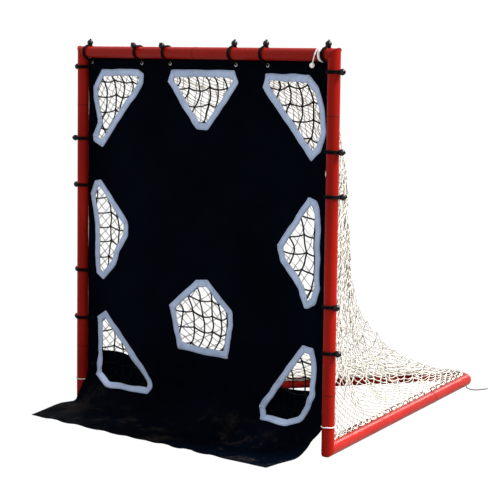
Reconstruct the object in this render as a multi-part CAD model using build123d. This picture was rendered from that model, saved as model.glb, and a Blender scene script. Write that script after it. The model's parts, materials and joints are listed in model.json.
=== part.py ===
from build123d import *

import os
from math import acos, atan2, cos, pi, radians, sin, tan

# Lacrosse goal: a knock-down steel tube frame with a V-shaped base, a laced
# pyramid net, and a shooting-target sheet held by ball bungees.
# Millimetres, +Z up, +X to the right seen from the front, +Y to the back.
# Everything is drawn from the goal line (posts' centre plane) and is moved
# at export, so that the origin is on the ground at the footprint's centre.

# Frame tubes
OPENING_WIDTH = 1829.0
OPENING_HEIGHT = 1829.0
RAIL_APEX_Y = 2134.0
TUBE_R = 60.3 / 2
TUBE_WALL = 2.8
REAR_BEND_R = 100.0
FOOT_ROUND = 20.0

# Knock-down joints: a spigot inside each seam, locked by a snap button
POST_SEAM_LOW = 290.0
POST_SEAM_HIGH = 1580.0
CROSSBAR_SEAM_X = -28.0
RAIL_SEAM_FROM_APEX = 826.0
SPIGOT_LENGTH = 160.0
SPIGOT_GAP = 0.25
SPIGOT_WALL = 2.5
BUTTON_OFFSET = 40.0
BUTTON_R = 4.75
BUTTON_HOLE_R = 4.9
BUTTON_REACH = 34.0
BUTTON_FLANGE_R = 8.0
BUTTON_FLANGE_TOP = 20.5
BUTTON_FLANGE_T = 2.0
BUTTON_STEM_R = 2.5
BUTTON_STEM_END = 6.0
SPRING_T = 0.8
SPRING_WIDTH = 12.0
SPRING_LEAF = 11.8
SPRING_BACK = -23.2
SPRING_TAIL = 30.0
SPRING_TIP = 14.0
SPRING_HOLE_R = 3.2

# Wire lacing loops and the ropes that lie beside them, lashed to them by the net's cord
LOOP_WIRE_R = 2.5
LOOP_WIDTH = 62.0
LOOP_HEIGHT = 18.0
LOOP_CORNER_R = 12.0
LOOP_LEAN = radians(57.5)  # from the tube's inner side; the ropes lie at 45 degrees
LOOP_PITCH_BASE = 90.0
LOOP_PITCH_FRONT = 135.0
LOOP_CLEAR_OF_SEAM = 5.0
LOOP_CLEAR_OF_BUNGEE = 12.0
BASE_ROPE_R = 4.5
BASE_ROPE_REACH = 35.2
BASE_ROPE_START = 60.0
FRONT_ROPE_R = 3.0
FRONT_ROPE_REACH = 34.0
FRONT_ROPE_BEND_R = 9.0
FRONT_ROPE_FOOT_Z = 70.0

# Net
NET_EDGE_X = 914.0
NET_EDGE_Y = 46.0
NET_T = 3.0
NET_RIDGE = [  # height, depth of the ridge, roundness of the section
    (80.0, 1925.0, 1.0),
    (145.0, 1689.0, 1.0),
    (254.0, 1442.0, 1.0),
    (433.0, 1240.0, 1.0),
    (649.0, 1120.0, 1.0),
    (900.0, 970.0, 1.0),
    (1200.0, 740.0, 1.6),
    (1500.0, 470.0, 2.3),
    (1815.0, 70.0, 2.6),
]
NET_STATIONS = (-1.0, -0.8, -0.55, -0.28, 0.0, 0.28, 0.55, 0.8, 1.0)

# Target sheet: a hanging face, a bend near the ground and a loose apron
SHEET_Y = 22.0
SHEET_T = 2.0
SHEET_HALF_WIDTH = 908.0
SHEET_TOP = 1824.0
SHEET_SEAM = 800.0
BEND_TOP = 170.0
BEND_UPPER_R = 80.0
BEND_LOWER_R = 120.0
BEND_ANGLE = 52.0
APRON_GAP = 2.0
APRON_HALF_WIDTH = 895.0
APRON_RIGHT_CORNER = (960.0, -413.0)
APRON_LEFT_CORNER = (-727.0, -490.0)

# Cut-outs, as outlines (x, z) of the webbing border for the right half
WEBBING_WIDTH = 38.0
WEBBING_T = 1.2
TOP_CORNER = [(455, 1772), (775, 1767), (855, 1690), (862, 1400), (787, 1362), (445, 1702)]
TOP_CENTRE = [(238, 1777), (262, 1716), (38, 1482), (-38, 1482), (-262, 1716), (-238, 1777)]
MIDDLE_SIDE = [
    (781, 1195),
    (838, 1180),
    (866, 1120),
    (864, 765),
    (828, 693),
    (761, 668),
    (564, 915),
    (568, 985),
]
LOWER_CORNER = [(745, 498), (815, 480), (830, 400), (826, 200), (742, 102), (395, 98), (370, 165)]
LOWER_CENTRE = [
    (46, 735),
    (238, 600),
    (247, 565),
    (192, 365),
    (-192, 365),
    (-247, 565),
    (-238, 600),
    (-46, 735),
]
POCKET_DEPTH = 56.0
POCKET_TAPER = 35.0
POCKET_T = 2.0
POCKET_FLANGE = 10.0
POCKET_FLANGE_T = 1.5

# Grommets and ball bungees
GROMMET_R = 10.0
GROMMET_BORE_R = 6.5
GROMMET_BARREL_R = 7.6
GROMMET_FLANGE_T = 1.0
GROMMET_PLAY = 0.1
TOP_GROMMET_Z = 1806.0
SIDE_GROMMET_X = 886.0
LOWER_GROMMET_Z = 200.0
TOP_BUNGEE_X = (-897.0, -475.0, -249.0, 249.0, 475.0, 897.0)
TOP_BALL_TILTS = (-10.0, 45.0, 45.0, -10.0, -10.0, -10.0)
SIDE_BUNGEE_Z = {
    -1: (444.0, 700.0, 1155.0, 1404.0, 1782.0),
    1: (488.0, 704.0, 1211.0, 1417.0, 1782.0),
}
SIDE_BALL_ANGLES = {-1: (3.0, 5.0, -6.0, -19.0, 0.0), 1: (7.0, -10.0, 42.0, 10.0, 4.0)}
BAND_T = 5.0
BAND_WIDTH = 10.6
BAND_GAP = 0.4
BAND_EYE_R = 6.0
BALL_R = 14.0

# White cords
TIE_CORD_R = 2.4
TIE_GAP = 0.3
TOP_RIGHT_TIE_X = (867.1, 872.0, 876.9)
TOP_LEFT_TIE_X = -908.0
POST_TIE_Z = {-1: 110.0, 1: 143.0}
WHITE_BALL_R = 12.5
WHITE_CORD_R = 3.0
WHITE_CORD_ROUTE = [
    (868.0, -6.0, 1898.5),
    (865.0, -22.0, 1893.0),
    (861.0, -35.0, 1879.5),
    (856.0, -40.0, 1861.0),
    (850.0, -40.0, 1841.0),
    (843.0, -38.5, 1822.0),
]

# Dark tail of cord that lies on the ground by the apex
TAIL_CORD_R = 2.5
TAIL_CORD_ROUTE = [
    (120.5, 1907.0),
    (143.0, 1883.0),
    (172.0, 1863.0),
    (200.0, 1851.0),
    (224.0, 1857.0),
    (236.0, 1881.0),
    (242.0, 1913.0),
    (243.0, 1947.0),
]

# Worked out from the above
SIDES = {"left": -1, "right": 1}
POST_X = OPENING_WIDTH / 2 + TUBE_R
BAR_Z = OPENING_HEIGHT + TUBE_R
RAIL_Z = TUBE_R
APEX_HALF_ANGLE = atan2(POST_X, RAIL_APEX_Y)
BEND_CENTRE_Y = RAIL_APEX_Y - REAR_BEND_R / sin(APEX_HALF_ANGLE)
REAR_EDGE_Y = BEND_CENTRE_Y + REAR_BEND_R + TUBE_R
ORIGIN_Y = (APRON_LEFT_CORNER[1] + REAR_EDGE_Y) / 2
SPIGOT_R = TUBE_R - TUBE_WALL - SPIGOT_GAP
UP = Vector(0, 0, 1)
BACK = Vector(0, 1, 0)


def export(name, *shapes):
    """Writes one node, moved to the part's origin."""
    solids = [solid for shape in shapes for solid in shape.solids()]
    node = solids[0] if len(solids) == 1 else Compound(children=solids)
    export_step(Pos(0, -ORIGIN_Y, 0) * node, f"parts/{name}.step")


def rod(start, end, radius):
    """A solid round bar between two points."""
    start, end = Vector(*start), Vector(*end)
    length = (end - start).length
    place = Plane(origin=start, z_dir=end - start).location
    return place * Cylinder(radius, length, align=(Align.CENTER, Align.CENTER, Align.MIN))


def tube(start, end, radius=TUBE_R, wall=TUBE_WALL):
    """A round tube between two points, open at both ends."""
    return rod(start, end, radius) - rod(start, end, radius - wall)


def trim(shape, point, normal):
    """The side of a shape that a plane's normal points to."""
    return split(shape, bisect_by=Plane(origin=point, z_dir=normal), keep=Keep.TOP)


def wire_sweep(path, radius):
    """A round wire or rope along a path."""
    start = Plane(origin=path @ 0, z_dir=path % 0)
    return sweep(start * Circle(radius), path=path)


def turn_radius(before, corner, after):
    """The largest easy radius at a corner of a cord's route."""
    arriving, leaving = corner - before, after - corner
    shorter = min(arriving.length, leaving.length)
    half_turn = radians(arriving.get_angle(leaving)) / 2
    return 0.45 * shorter / tan(half_turn)


def cord(name, route, radius):
    """A cord along straight runs joined by tangent arcs."""
    points = [Vector(*point) for point in route]
    radii = [turn_radius(*points[i : i + 3]) for i in range(len(points) - 2)]
    print(name, "bend radii", [round(r, 1) for r in radii])
    path = FilletPolyline(*points, radius=radii)
    print(name, "length", round(path.length, 1))
    return wire_sweep(path, radius)


# --- Frame -----------------------------------------------------------------


def rail_direction(side):
    """From a post's foot to the apex, along the ground."""
    return Vector(-side * POST_X, RAIL_APEX_Y, 0).normalized()


def rail_inward(side):
    """Level, square to a base rail, towards the inside of the goal."""
    along = rail_direction(side)
    return Vector(-side * along.Y, -side * -along.X, 0).normalized()


def rail_point(side, from_apex):
    """A point of a base rail's centreline, by its distance from the apex corner."""
    return Vector(0, RAIL_APEX_Y, RAIL_Z) - rail_direction(side) * from_apex


def foot_block(side, inset):
    """Rounded envelope of a bottom corner, inset from the tubes' skin."""
    reach = TUBE_R - inset
    length, height, width = 2400.0, 500.0, 200.0
    block = Pos(-reach, 0, -reach) * Box(
        length, width, height, align=(Align.MIN, Align.CENTER, Align.MIN)
    )
    low_edge = block.edges().filter_by(Axis.Y).sort_by(lambda e: e.center().X + e.center().Z)[0]
    block = fillet(low_edge, FOOT_ROUND - inset)
    corner = Vector(side * POST_X, 0, RAIL_Z)
    return Plane(origin=corner, x_dir=rail_direction(side), z_dir=UP).location * block


def foot_tube(side, end, heading, other_heading):
    """One of the two tubes that meet in a mitre at a post's rounded foot."""
    corner = Vector(side * POST_X, 0, RAIL_Z)

    def mitred(inset):
        bar = rod(corner - heading * 2 * TUBE_R, end, TUBE_R - inset)
        return trim(bar, corner, heading - other_heading) & foot_block(side, inset)

    return mitred(0) - mitred(TUBE_WALL)


def foot_corner(side):
    """The welded post foot and base rail."""
    along = rail_direction(side)
    post = foot_tube(side, (side * POST_X, 0, POST_SEAM_LOW), UP, along)
    rail = foot_tube(side, rail_point(side, RAIL_SEAM_FROM_APEX), along, UP)
    return post, rail


def top_corner(side):
    """The welded post top and crossbar half, as two mitred tubes."""
    corner = Vector(side * POST_X, 0, BAR_Z)
    outward = Vector(side, 0, 0)
    post = tube((corner.X, 0, POST_SEAM_HIGH), corner + UP * 2 * TUBE_R)
    bar = tube((CROSSBAR_SEAM_X, 0, BAR_Z), corner + outward * 2 * TUBE_R)
    return trim(post, corner, outward - UP), trim(bar, corner, UP - outward)


def rear_bend():
    """The V-shaped rear section: two straights and a smooth bend."""
    tangent_length = REAR_BEND_R / tan(APEX_HALF_ANGLE)
    section = Circle(TUBE_R) - Circle(TUBE_R - TUBE_WALL)
    ends = [rail_point(side, RAIL_SEAM_FROM_APEX) for side in (1, -1)]
    tangents = [rail_point(side, tangent_length) for side in (1, -1)]
    top = Vector(0, BEND_CENTRE_Y + REAR_BEND_R, RAIL_Z)
    arc = ThreePointArc(tangents[0], top, tangents[1])
    path = Line(ends[0], tangents[0]) + arc + Line(tangents[1], ends[1])
    start = Plane(origin=ends[0], z_dir=rail_direction(1))
    return sweep(start * section, path=path)


class Seam:
    """One knock-down joint: where it is, along which tube, and where its button faces."""

    def __init__(self, name, point, along, facing):
        self.name = name
        self.point = Vector(*point)
        self.along = Vector(*along)
        self.facing = Vector(*facing)
        self.button = self.point + self.along * BUTTON_OFFSET

    def plane(self):
        """Origin on the tube's axis at the button, x along the tube, z out through the button."""
        return Plane(origin=self.button, x_dir=self.along, z_dir=self.facing)

    def drill(self, shape):
        """Makes the button's hole in a tube."""
        return shape - rod(self.button, self.button + self.facing * 2 * TUBE_R, BUTTON_HOLE_R)

    def spigot(self):
        """The inner sleeve that joins the two tubes."""
        half = self.along * (SPIGOT_LENGTH / 2)
        return self.drill(tube(self.point - half, self.point + half, SPIGOT_R, SPIGOT_WALL))

    def snap_button(self):
        """A flanged button with a guide stem, pushed out by the spring."""
        low = (Align.CENTER, Align.CENTER, Align.MIN)
        head_low = BUTTON_FLANGE_TOP - BUTTON_FLANGE_T
        head = Pos(0, 0, head_low) * Cylinder(BUTTON_R, BUTTON_REACH - head_low, align=low)
        head = fillet(head.edges().sort_by(Axis.Z)[-1], BUTTON_R * 0.5)
        flange = Pos(0, 0, head_low) * Cylinder(BUTTON_FLANGE_R, BUTTON_FLANGE_T, align=low)
        stem = Pos(0, 0, BUTTON_STEM_END) * Cylinder(
            BUTTON_STEM_R, head_low - BUTTON_STEM_END + BUTTON_FLANGE_T, align=low
        )
        return self.plane().location * (head + flange + stem)

    def spring(self):
        """A U-shaped leaf spring, drawn where it lies with the button pressed in."""
        radius = (SPRING_LEAF - SPRING_BACK) / 2
        middle = (SPRING_LEAF + SPRING_BACK) / 2
        path = (
            Line((SPRING_TIP, SPRING_LEAF), (-SPRING_TAIL, SPRING_LEAF))
            + ThreePointArc(
                (-SPRING_TAIL, SPRING_LEAF),
                (-SPRING_TAIL - radius, middle),
                (-SPRING_TAIL, SPRING_BACK),
            )
            + Line((-SPRING_TAIL, SPRING_BACK), (SPRING_TIP, SPRING_BACK))
        )
        strip = extrude(Plane.XZ * trace(path, SPRING_T), SPRING_WIDTH / 2, both=True)
        hole = Pos(0, 0, SPRING_LEAF) * Cylinder(SPRING_HOLE_R, 4 * SPRING_T)
        return self.plane().location * (strip - hole)


def all_seams():
    """Every knock-down joint of the frame, by name."""
    seams = {"crossbar": Seam("crossbar", (CROSSBAR_SEAM_X, 0, BAR_Z), (1, 0, 0), BACK)}
    for word, side in SIDES.items():
        x = side * POST_X
        rail_seam = rail_point(side, RAIL_SEAM_FROM_APEX)
        places = {
            f"post_top_{word}": ((x, 0, POST_SEAM_HIGH), UP, BACK),
            f"post_foot_{word}": ((x, 0, POST_SEAM_LOW), UP, BACK),
            f"rail_{word}": (rail_seam, rail_direction(side), rail_inward(side)),
        }
        for name, (point, along, facing) in places.items():
            seams[name] = Seam(name, point, along, facing)
    return seams


# --- Lacing ----------------------------------------------------------------


def lacing_loop():
    """One bent wire loop welded to a tube that lies along X, standing up in Z."""
    half = LOOP_WIDTH / 2
    top = TUBE_R + LOOP_HEIGHT
    inside = TUBE_R - 3 * LOOP_WIRE_R
    corners = [(-half, 0, inside), (-half, 0, top), (half, 0, top), (half, 0, inside)]
    wire = wire_sweep(FilletPolyline(*corners, radius=LOOP_CORNER_R), LOOP_WIRE_R)
    return wire - Rot(0, 90, 0) * Cylinder(TUBE_R, 2 * LOOP_WIDTH)


def spaced(length, pitch, obstacles, gap):
    """Places at an even pitch along a length, clear of obstacles by a gap."""
    count = int(length // pitch)
    places = [(length - (count - 1) * pitch) / 2 + i * pitch for i in range(count)]
    return [place for place in places if all(abs(place - o) > gap for o in obstacles)]


def rail_loops(side, loop):
    """The loops along the upper inner side of a base rail."""
    along = rail_direction(side)
    outward = rail_inward(side) * cos(LOOP_LEAN) + UP * sin(LOOP_LEAN)
    rail_length = Vector(POST_X, RAIL_APEX_Y, 0).length
    straight = rail_length - REAR_BEND_R / tan(APEX_HALF_ANGLE)
    start = Vector(side * POST_X, 0, RAIL_Z)
    seam = rail_length - RAIL_SEAM_FROM_APEX
    places = spaced(straight, LOOP_PITCH_BASE, [seam], LOOP_WIDTH / 2 + LOOP_CLEAR_OF_SEAM)
    return [
        Plane(origin=start + along * place, x_dir=along, z_dir=outward).location * loop
        for place in places
    ]


def post_loops(side, loop):
    """The loops behind a post, between its bungees and seams."""
    outward = Vector(-side * cos(LOOP_LEAN), sin(LOOP_LEAN), 0)
    obstacles = [*SIDE_BUNGEE_Z[side], POST_SEAM_LOW, POST_SEAM_HIGH, POST_TIE_Z[side]]
    gap = LOOP_WIDTH / 2 + LOOP_CLEAR_OF_BUNGEE
    places = spaced(OPENING_HEIGHT, LOOP_PITCH_FRONT, obstacles, gap)
    return [
        Plane(origin=(side * POST_X, 0, place), x_dir=UP, z_dir=outward).location * loop
        for place in places
    ]


def crossbar_loops(loop):
    """The loops behind the crossbar, between its bungees and the seam."""
    outward = Vector(0, sin(LOOP_LEAN), -cos(LOOP_LEAN))
    busy = (*TOP_BUNGEE_X, *TOP_RIGHT_TIE_X, TOP_LEFT_TIE_X, CROSSBAR_SEAM_X)
    obstacles = [x + OPENING_WIDTH / 2 for x in busy]
    gap = LOOP_WIDTH / 2 + LOOP_CLEAR_OF_BUNGEE
    places = spaced(OPENING_WIDTH, LOOP_PITCH_FRONT, obstacles, gap)
    return [
        Plane(origin=(p - OPENING_WIDTH / 2, 0, BAR_Z), x_dir=(1, 0, 0), z_dir=outward).location
        * loop
        for p in places
    ]


def base_rope():
    """The rope beside the base loops, from one post to the other round the apex."""
    lift = BASE_ROPE_REACH / 2**0.5
    starts = []
    for side in (1, -1):
        shift = rail_inward(side) * lift + UP * lift
        foot = Vector(side * POST_X, 0, RAIL_Z)
        starts.append(foot + shift + rail_direction(side) * BASE_ROPE_START)
    apex = Vector(0, RAIL_APEX_Y - lift / sin(APEX_HALF_ANGLE), RAIL_Z + lift)
    path = FilletPolyline(starts[0], apex, starts[1], radius=REAR_BEND_R - lift)
    return wire_sweep(path, BASE_ROPE_R)


def front_rope():
    """The rope behind the posts and the crossbar."""
    lift = FRONT_ROPE_REACH / 2**0.5
    x, top, foot = POST_X - lift, BAR_Z - lift, FRONT_ROPE_FOOT_Z
    corners = [(-x, lift, foot), (-x, lift, top), (x, lift, top), (x, lift, foot)]
    return wire_sweep(FilletPolyline(*corners, radius=FRONT_ROPE_BEND_R), FRONT_ROPE_R)


# --- Net -------------------------------------------------------------------


def net_point(station, height, ridge, roundness):
    """A point of the net: station runs from -1 at the left post to 1 at the right."""
    depth = NET_EDGE_Y + (ridge - NET_EDGE_Y) * (1 - abs(station) ** roundness)
    return Vector(station * NET_EDGE_X, depth, height)


def net_grid():
    """The net's outer skin, as rows of points from the base up."""
    return [[net_point(s, *row) for s in NET_STATIONS] for row in NET_RIDGE]


def shrink(grid, distance):
    """The same grid moved inwards, square to the skin."""
    rows, columns = len(grid), len(grid[0])
    moved = []
    for i in range(rows):
        low, high = grid[max(i - 1, 0)], grid[min(i + 1, rows - 1)]
        row = []
        for j in range(columns):
            across = grid[i][min(j + 1, columns - 1)] - grid[i][max(j - 1, 0)]
            outward = (high[j] - low[j]).cross(across).normalized()
            row.append(grid[i][j] - outward * distance)
        moved.append(row)
    return moved


def net():
    """The net's envelope as one closed skin, open at the front and below."""
    outer = net_grid()
    inner = shrink(outer, NET_T)
    rows, columns = len(outer), len(outer[0])
    faces = []

    def panel(*corners):
        a, b, c, d = corners
        faces.extend(Face(Wire.make_polygon(t)) for t in ([a, b, c], [a, c, d]))

    for i in range(rows - 1):
        for j in range(columns - 1):
            panel(outer[i][j], outer[i][j + 1], outer[i + 1][j + 1], outer[i + 1][j])
            panel(inner[i][j], inner[i + 1][j], inner[i + 1][j + 1], inner[i][j + 1])
        for j in (0, columns - 1):
            panel(outer[i][j], outer[i + 1][j], inner[i + 1][j], inner[i][j])
    for j in range(columns - 1):
        for i in (0, rows - 1):
            panel(outer[i][j], inner[i][j], inner[i][j + 1], outer[i][j + 1])
    return Solid(Shell(faces))


# --- Target sheet ----------------------------------------------------------


def bend_end():
    """Centre (y, z) of the lower bend, where the sheet meets the ground."""
    turn = radians(BEND_ANGLE)
    z = SHEET_T / 2 + BEND_LOWER_R
    drop = BEND_TOP - z - (BEND_UPPER_R - BEND_LOWER_R) * sin(turn)
    run = drop / cos(turn)
    y = SHEET_Y - BEND_UPPER_R + (BEND_UPPER_R - BEND_LOWER_R) * cos(turn) - run * sin(turn)
    return y, z


def sheet_line(offset, top, bottom_bend=True):
    """The sheet's side view (y, z), shifted towards the front by an offset."""
    face_y = SHEET_Y - offset
    if not bottom_bend:
        return Line((face_y, top), (face_y, SHEET_SEAM))
    turn = radians(BEND_ANGLE)
    upper_centre = (SHEET_Y - BEND_UPPER_R, BEND_TOP)
    lower_centre = bend_end()

    def on_arc(centre, radius, angle):
        return (centre[0] + radius * cos(angle), centre[1] - radius * sin(angle))

    upper_r, lower_r = BEND_UPPER_R - offset, BEND_LOWER_R - offset
    upper = [on_arc(upper_centre, upper_r, a) for a in (0, turn / 2, turn)]
    lower = [on_arc(lower_centre, lower_r, a) for a in (turn, (turn + pi / 2) / 2, pi / 2)]
    return (
        Line((face_y, top), upper[0])
        + ThreePointArc(*upper)
        + Line(upper[2], lower[0])
        + ThreePointArc(*lower)
    )


def sheet_layer(line, thickness, half_width):
    """A layer of the sheet's width along a side-view line."""
    return extrude(Plane.YZ * trace(line, thickness), half_width, both=True)


def prism(outline, front=-250.0, back=SHEET_Y + 5):
    """An outline (x, z) driven straight through the sheet."""
    return extrude(Plane.XZ.offset(-back) * outline, back - front)


def mirrored(points):
    """The left-hand copy of an outline."""
    return [(-x, z) for x, z in reversed(points)]


def all_cut_outs():
    """The outer outline of each border, by its place on the sheet."""
    return {
        "top_left": mirrored(TOP_CORNER),
        "top_centre": TOP_CENTRE,
        "top_right": TOP_CORNER,
        "middle_left": mirrored(MIDDLE_SIDE),
        "middle_right": MIDDLE_SIDE,
        "lower_left": mirrored(LOWER_CORNER),
        "lower_centre": LOWER_CENTRE,
        "lower_right": LOWER_CORNER,
    }


def border_outline(points):
    """A filled outline as a sketch."""
    return make_face(Polyline(*points, close=True))


def hole_outline(points, grow=0.0):
    """The opening inside a border, grown by a margin."""
    return offset(border_outline(points), grow - WEBBING_WIDTH, kind=Kind.INTERSECTION)


def webbing_border(points):
    """A band of webbing round a hole, on the sheet's front face."""
    line = sheet_line((SHEET_T + WEBBING_T) / 2, SHEET_TOP)
    skin = sheet_layer(line, WEBBING_T, SHEET_HALF_WIDTH)
    return skin & (prism(border_outline(points)) - prism(hole_outline(points)))


def pocket(points):
    """A shallow tapered bag behind a hole, with a sewn flange at its mouth."""
    mouth_y = SHEET_Y + SHEET_T / 2
    plane = Plane.XZ.offset(-mouth_y)
    bag = extrude(plane * hole_outline(points, POCKET_T), -POCKET_DEPTH, taper=POCKET_TAPER)
    inside = extrude(plane * hole_outline(points), POCKET_T - POCKET_DEPTH, taper=POCKET_TAPER)
    flange = extrude(plane * hole_outline(points, POCKET_FLANGE), -POCKET_FLANGE_T)
    opening = extrude(plane * hole_outline(points), -POCKET_FLANGE_T)
    return bag + (flange - opening) - inside


def grommet_places():
    """Grommet centres (x, z) on the hanging face of the sheet."""
    top = [(x, TOP_GROMMET_Z) for x in TOP_BUNGEE_X]
    sides = [
        (side * SIDE_GROMMET_X, z)
        for side in SIDES.values()
        for z in (*SIDE_BUNGEE_Z[side], LOWER_GROMMET_Z)
    ]
    return top + sides


def grommet(x, z):
    """A rolled eyelet: a barrel through the sheet and a flange on each face."""
    half = SHEET_T / 2 + GROMMET_PLAY
    reach = half + GROMMET_FLANGE_T
    start, end = Vector(x, SHEET_Y - reach, z), Vector(x, SHEET_Y + reach, z)
    barrel = rod(start, end, GROMMET_BARREL_R - GROMMET_PLAY)
    flanges = rod(start, end, GROMMET_R) - rod(
        (x, SHEET_Y - half, z), (x, SHEET_Y + half, z), GROMMET_R
    )
    return barrel + flanges - rod(start, end, GROMMET_BORE_R)


def target_panels():
    """The upper and lower halves of the hanging sheet, sewn at the seam."""
    upper = sheet_layer(sheet_line(0, SHEET_TOP, bottom_bend=False), SHEET_T, SHEET_HALF_WIDTH)
    lower = sheet_layer(sheet_line(0, SHEET_SEAM), SHEET_T, SHEET_HALF_WIDTH)
    for points in all_cut_outs().values():
        cutter = prism(hole_outline(points))
        upper -= cutter
        lower -= cutter
    for x, z in grommet_places():
        cutter = rod((x, SHEET_Y - 5, z), (x, SHEET_Y + 5, z), GROMMET_BARREL_R)
        upper -= cutter
        lower -= cutter
    return upper, lower


def target_apron():
    """The loose end of the sheet that lies on the ground."""
    start = bend_end()[0] - APRON_GAP
    outline = [
        (-APRON_HALF_WIDTH, start),
        APRON_LEFT_CORNER,
        APRON_RIGHT_CORNER,
        (APRON_HALF_WIDTH, start),
    ]
    return extrude(border_outline(outline), SHEET_T)


# --- Bungees and ties ------------------------------------------------------


def belt(tube_r, eye_r, eye):
    """A closed line round a tube at the origin and round a small circle at an eye."""
    distance = (eye[0] ** 2 + eye[1] ** 2) ** 0.5
    heading = atan2(eye[1], eye[0])
    spread = acos((tube_r - eye_r) / distance)

    def on_circle(centre, radius, angle):
        return (centre[0] + radius * cos(angle), centre[1] + radius * sin(angle))

    tube_ends = [on_circle((0, 0), tube_r, heading + s * spread) for s in (1, -1)]
    eye_ends = [on_circle(eye, eye_r, heading + s * spread) for s in (1, -1)]
    return (
        ThreePointArc(tube_ends[0], on_circle((0, 0), tube_r, heading + pi), tube_ends[1])
        + Line(tube_ends[1], eye_ends[1])
        + ThreePointArc(eye_ends[1], on_circle(eye, eye_r, heading), eye_ends[0])
        + Line(eye_ends[0], tube_ends[0])
    )


def ball(centre_distance, angle):
    """A ball beside a tube at the origin, at an angle in the band's plane."""
    turn = radians(angle)
    return Pos(centre_distance * cos(turn), centre_distance * sin(turn), 0) * Sphere(BALL_R)


def bungee(plane, eye, ball_angle):
    """One elastic band and its ball, placed on a plane square to the tube."""
    line = belt(TUBE_R + BAND_GAP + BAND_T / 2, BAND_EYE_R, eye)
    band = extrude(trace(line, BAND_T), BAND_WIDTH / 2, both=True)
    ball_distance = TUBE_R + 3 * BAND_GAP + BAND_T + BALL_R
    return plane.location * band, plane.location * ball(ball_distance, ball_angle)


def top_bungees():
    """The six bungees round the crossbar. In their planes, x is up and y is to the front."""
    eye = (TOP_GROMMET_Z + BAND_EYE_R - BAR_Z, -SHEET_Y)
    pairs = []
    for x, tilt in zip(TOP_BUNGEE_X, TOP_BALL_TILTS):
        plane = Plane(origin=(x, 0, BAR_Z), x_dir=UP, z_dir=(1, 0, 0))
        pairs.append(bungee(plane, eye, tilt))
    return pairs


def side_bungees(side):
    """The five bungees round a post. In their planes, x is outward and y is to the back."""
    eye = (SIDE_GROMMET_X + BAND_EYE_R - POST_X, SHEET_Y)
    pairs = []
    for z, angle in zip(SIDE_BUNGEE_Z[side], SIDE_BALL_ANGLES[side]):
        plane = Plane(origin=(side * POST_X, 0, z), x_dir=(side, 0, 0), z_dir=(0, 0, side))
        pairs.append(bungee(plane, eye, angle))
    return pairs


def tie(origin, along, rope_side):
    """One turn of thin cord round a tube and the front rope beside it."""
    offset_r = TIE_GAP + TIE_CORD_R
    line = belt(TUBE_R + offset_r, FRONT_ROPE_R + offset_r, (FRONT_ROPE_REACH, 0))
    turn = wire_sweep(line, TIE_CORD_R)
    return Plane(origin=origin, x_dir=rope_side, z_dir=along).location * turn


def crossbar_tie(x):
    """A tie round the crossbar, whose rope is behind and below."""
    return tie((x, 0, BAR_Z), (1, 0, 0), (0, 1, -1))


def post_tie(side):
    """A tie round a post's foot, whose rope is behind and inside."""
    return tie((side * POST_X, 0, POST_TIE_Z[side]), UP, (-side, 1, 0))


# --- Writing the nodes -----------------------------------------------------


def write_frame(seams):
    """The eleven tubes, the seven spigots, and their buttons and springs."""
    for word, side in SIDES.items():
        foot, rail = foot_corner(side)
        post_top, crossbar = top_corner(side)
        middle = tube((side * POST_X, 0, POST_SEAM_LOW), (side * POST_X, 0, POST_SEAM_HIGH))
        export(f"post_foot_{word}", foot)
        export(f"base_rail_{word}", rail)
        export(f"post_middle_{word}", seams[f"post_foot_{word}"].drill(middle))
        export(f"post_top_{word}", seams[f"post_top_{word}"].drill(post_top))
        export(f"crossbar_{word}", seams["crossbar"].drill(crossbar))
    rear = rear_bend()
    for word in SIDES:
        rear = seams[f"rail_{word}"].drill(rear)
    export("rear_bend", rear)
    for name, seam in seams.items():
        export(f"spigot_{name}", seam.spigot())
        export(f"snap_button_{name}", seam.snap_button())
    export("snap_springs", *[seam.spring() for seam in seams.values()])


def write_lacing_and_net():
    """The wire loops, the ropes and the net."""
    loop = lacing_loop()
    export("lacing_loops_rails", *rail_loops(1, loop), *rail_loops(-1, loop))
    export("lacing_loops_posts", *post_loops(1, loop), *post_loops(-1, loop))
    export("lacing_loops_crossbar", *crossbar_loops(loop))
    export("base_rope", base_rope())
    export("front_rope", front_rope())
    export("net", net())


def write_target():
    """The sheet in three lengths, with its borders, pockets and grommets."""
    upper, lower = target_panels()
    export("target_upper", upper)
    export("target_lower", lower)
    export("target_apron", target_apron())
    cut_outs = all_cut_outs()
    for row in ("top", "middle", "lower"):
        borders = [webbing_border(p) for name, p in cut_outs.items() if name.startswith(row)]
        export(f"borders_{row}", *borders)
    for name, points in cut_outs.items():
        export(f"pocket_{name}", pocket(points))
    export("grommets", *[grommet(x, z) for x, z in grommet_places()])


def write_bungees_and_ties():
    """The black ball bungees, the white ties and the two loose cords."""
    groups = {"top": top_bungees(), "left": side_bungees(-1), "right": side_bungees(1)}
    for name, pairs in groups.items():
        export(f"bungee_cords_{name}", *[band for band, _ in pairs])
        export(f"bungee_balls_{name}", *[round_end for _, round_end in pairs])
    export("triple_tie", *[crossbar_tie(x) for x in TOP_RIGHT_TIE_X])
    export("single_ties", crossbar_tie(TOP_LEFT_TIE_X), post_tie(-1), post_tie(1))
    export("white_cord", cord("white_cord", WHITE_CORD_ROUTE, WHITE_CORD_R))
    end = Vector(*WHITE_CORD_ROUTE[-1])
    heading = (end - Vector(*WHITE_CORD_ROUTE[-2])).normalized()
    export("white_ball", Pos(*(end + heading * WHITE_BALL_R)) * Sphere(WHITE_BALL_R))
    tail_route = [(x, y, TAIL_CORD_R) for x, y in TAIL_CORD_ROUTE]
    export("tail_cord", cord("tail_cord", tail_route, TAIL_CORD_R))


def main():
    os.makedirs("parts", exist_ok=True)
    write_frame(all_seams())
    write_lacing_and_net()
    write_target()
    write_bungees_and_ties()


main()
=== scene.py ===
import json
from math import asin, atan2, cos, pi, radians, sin, tan, tau

import bmesh
import bpy
import numpy as np
from mathutils import Matrix, Vector
from mathutils.geometry import delaunay_2d_cdt


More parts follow.
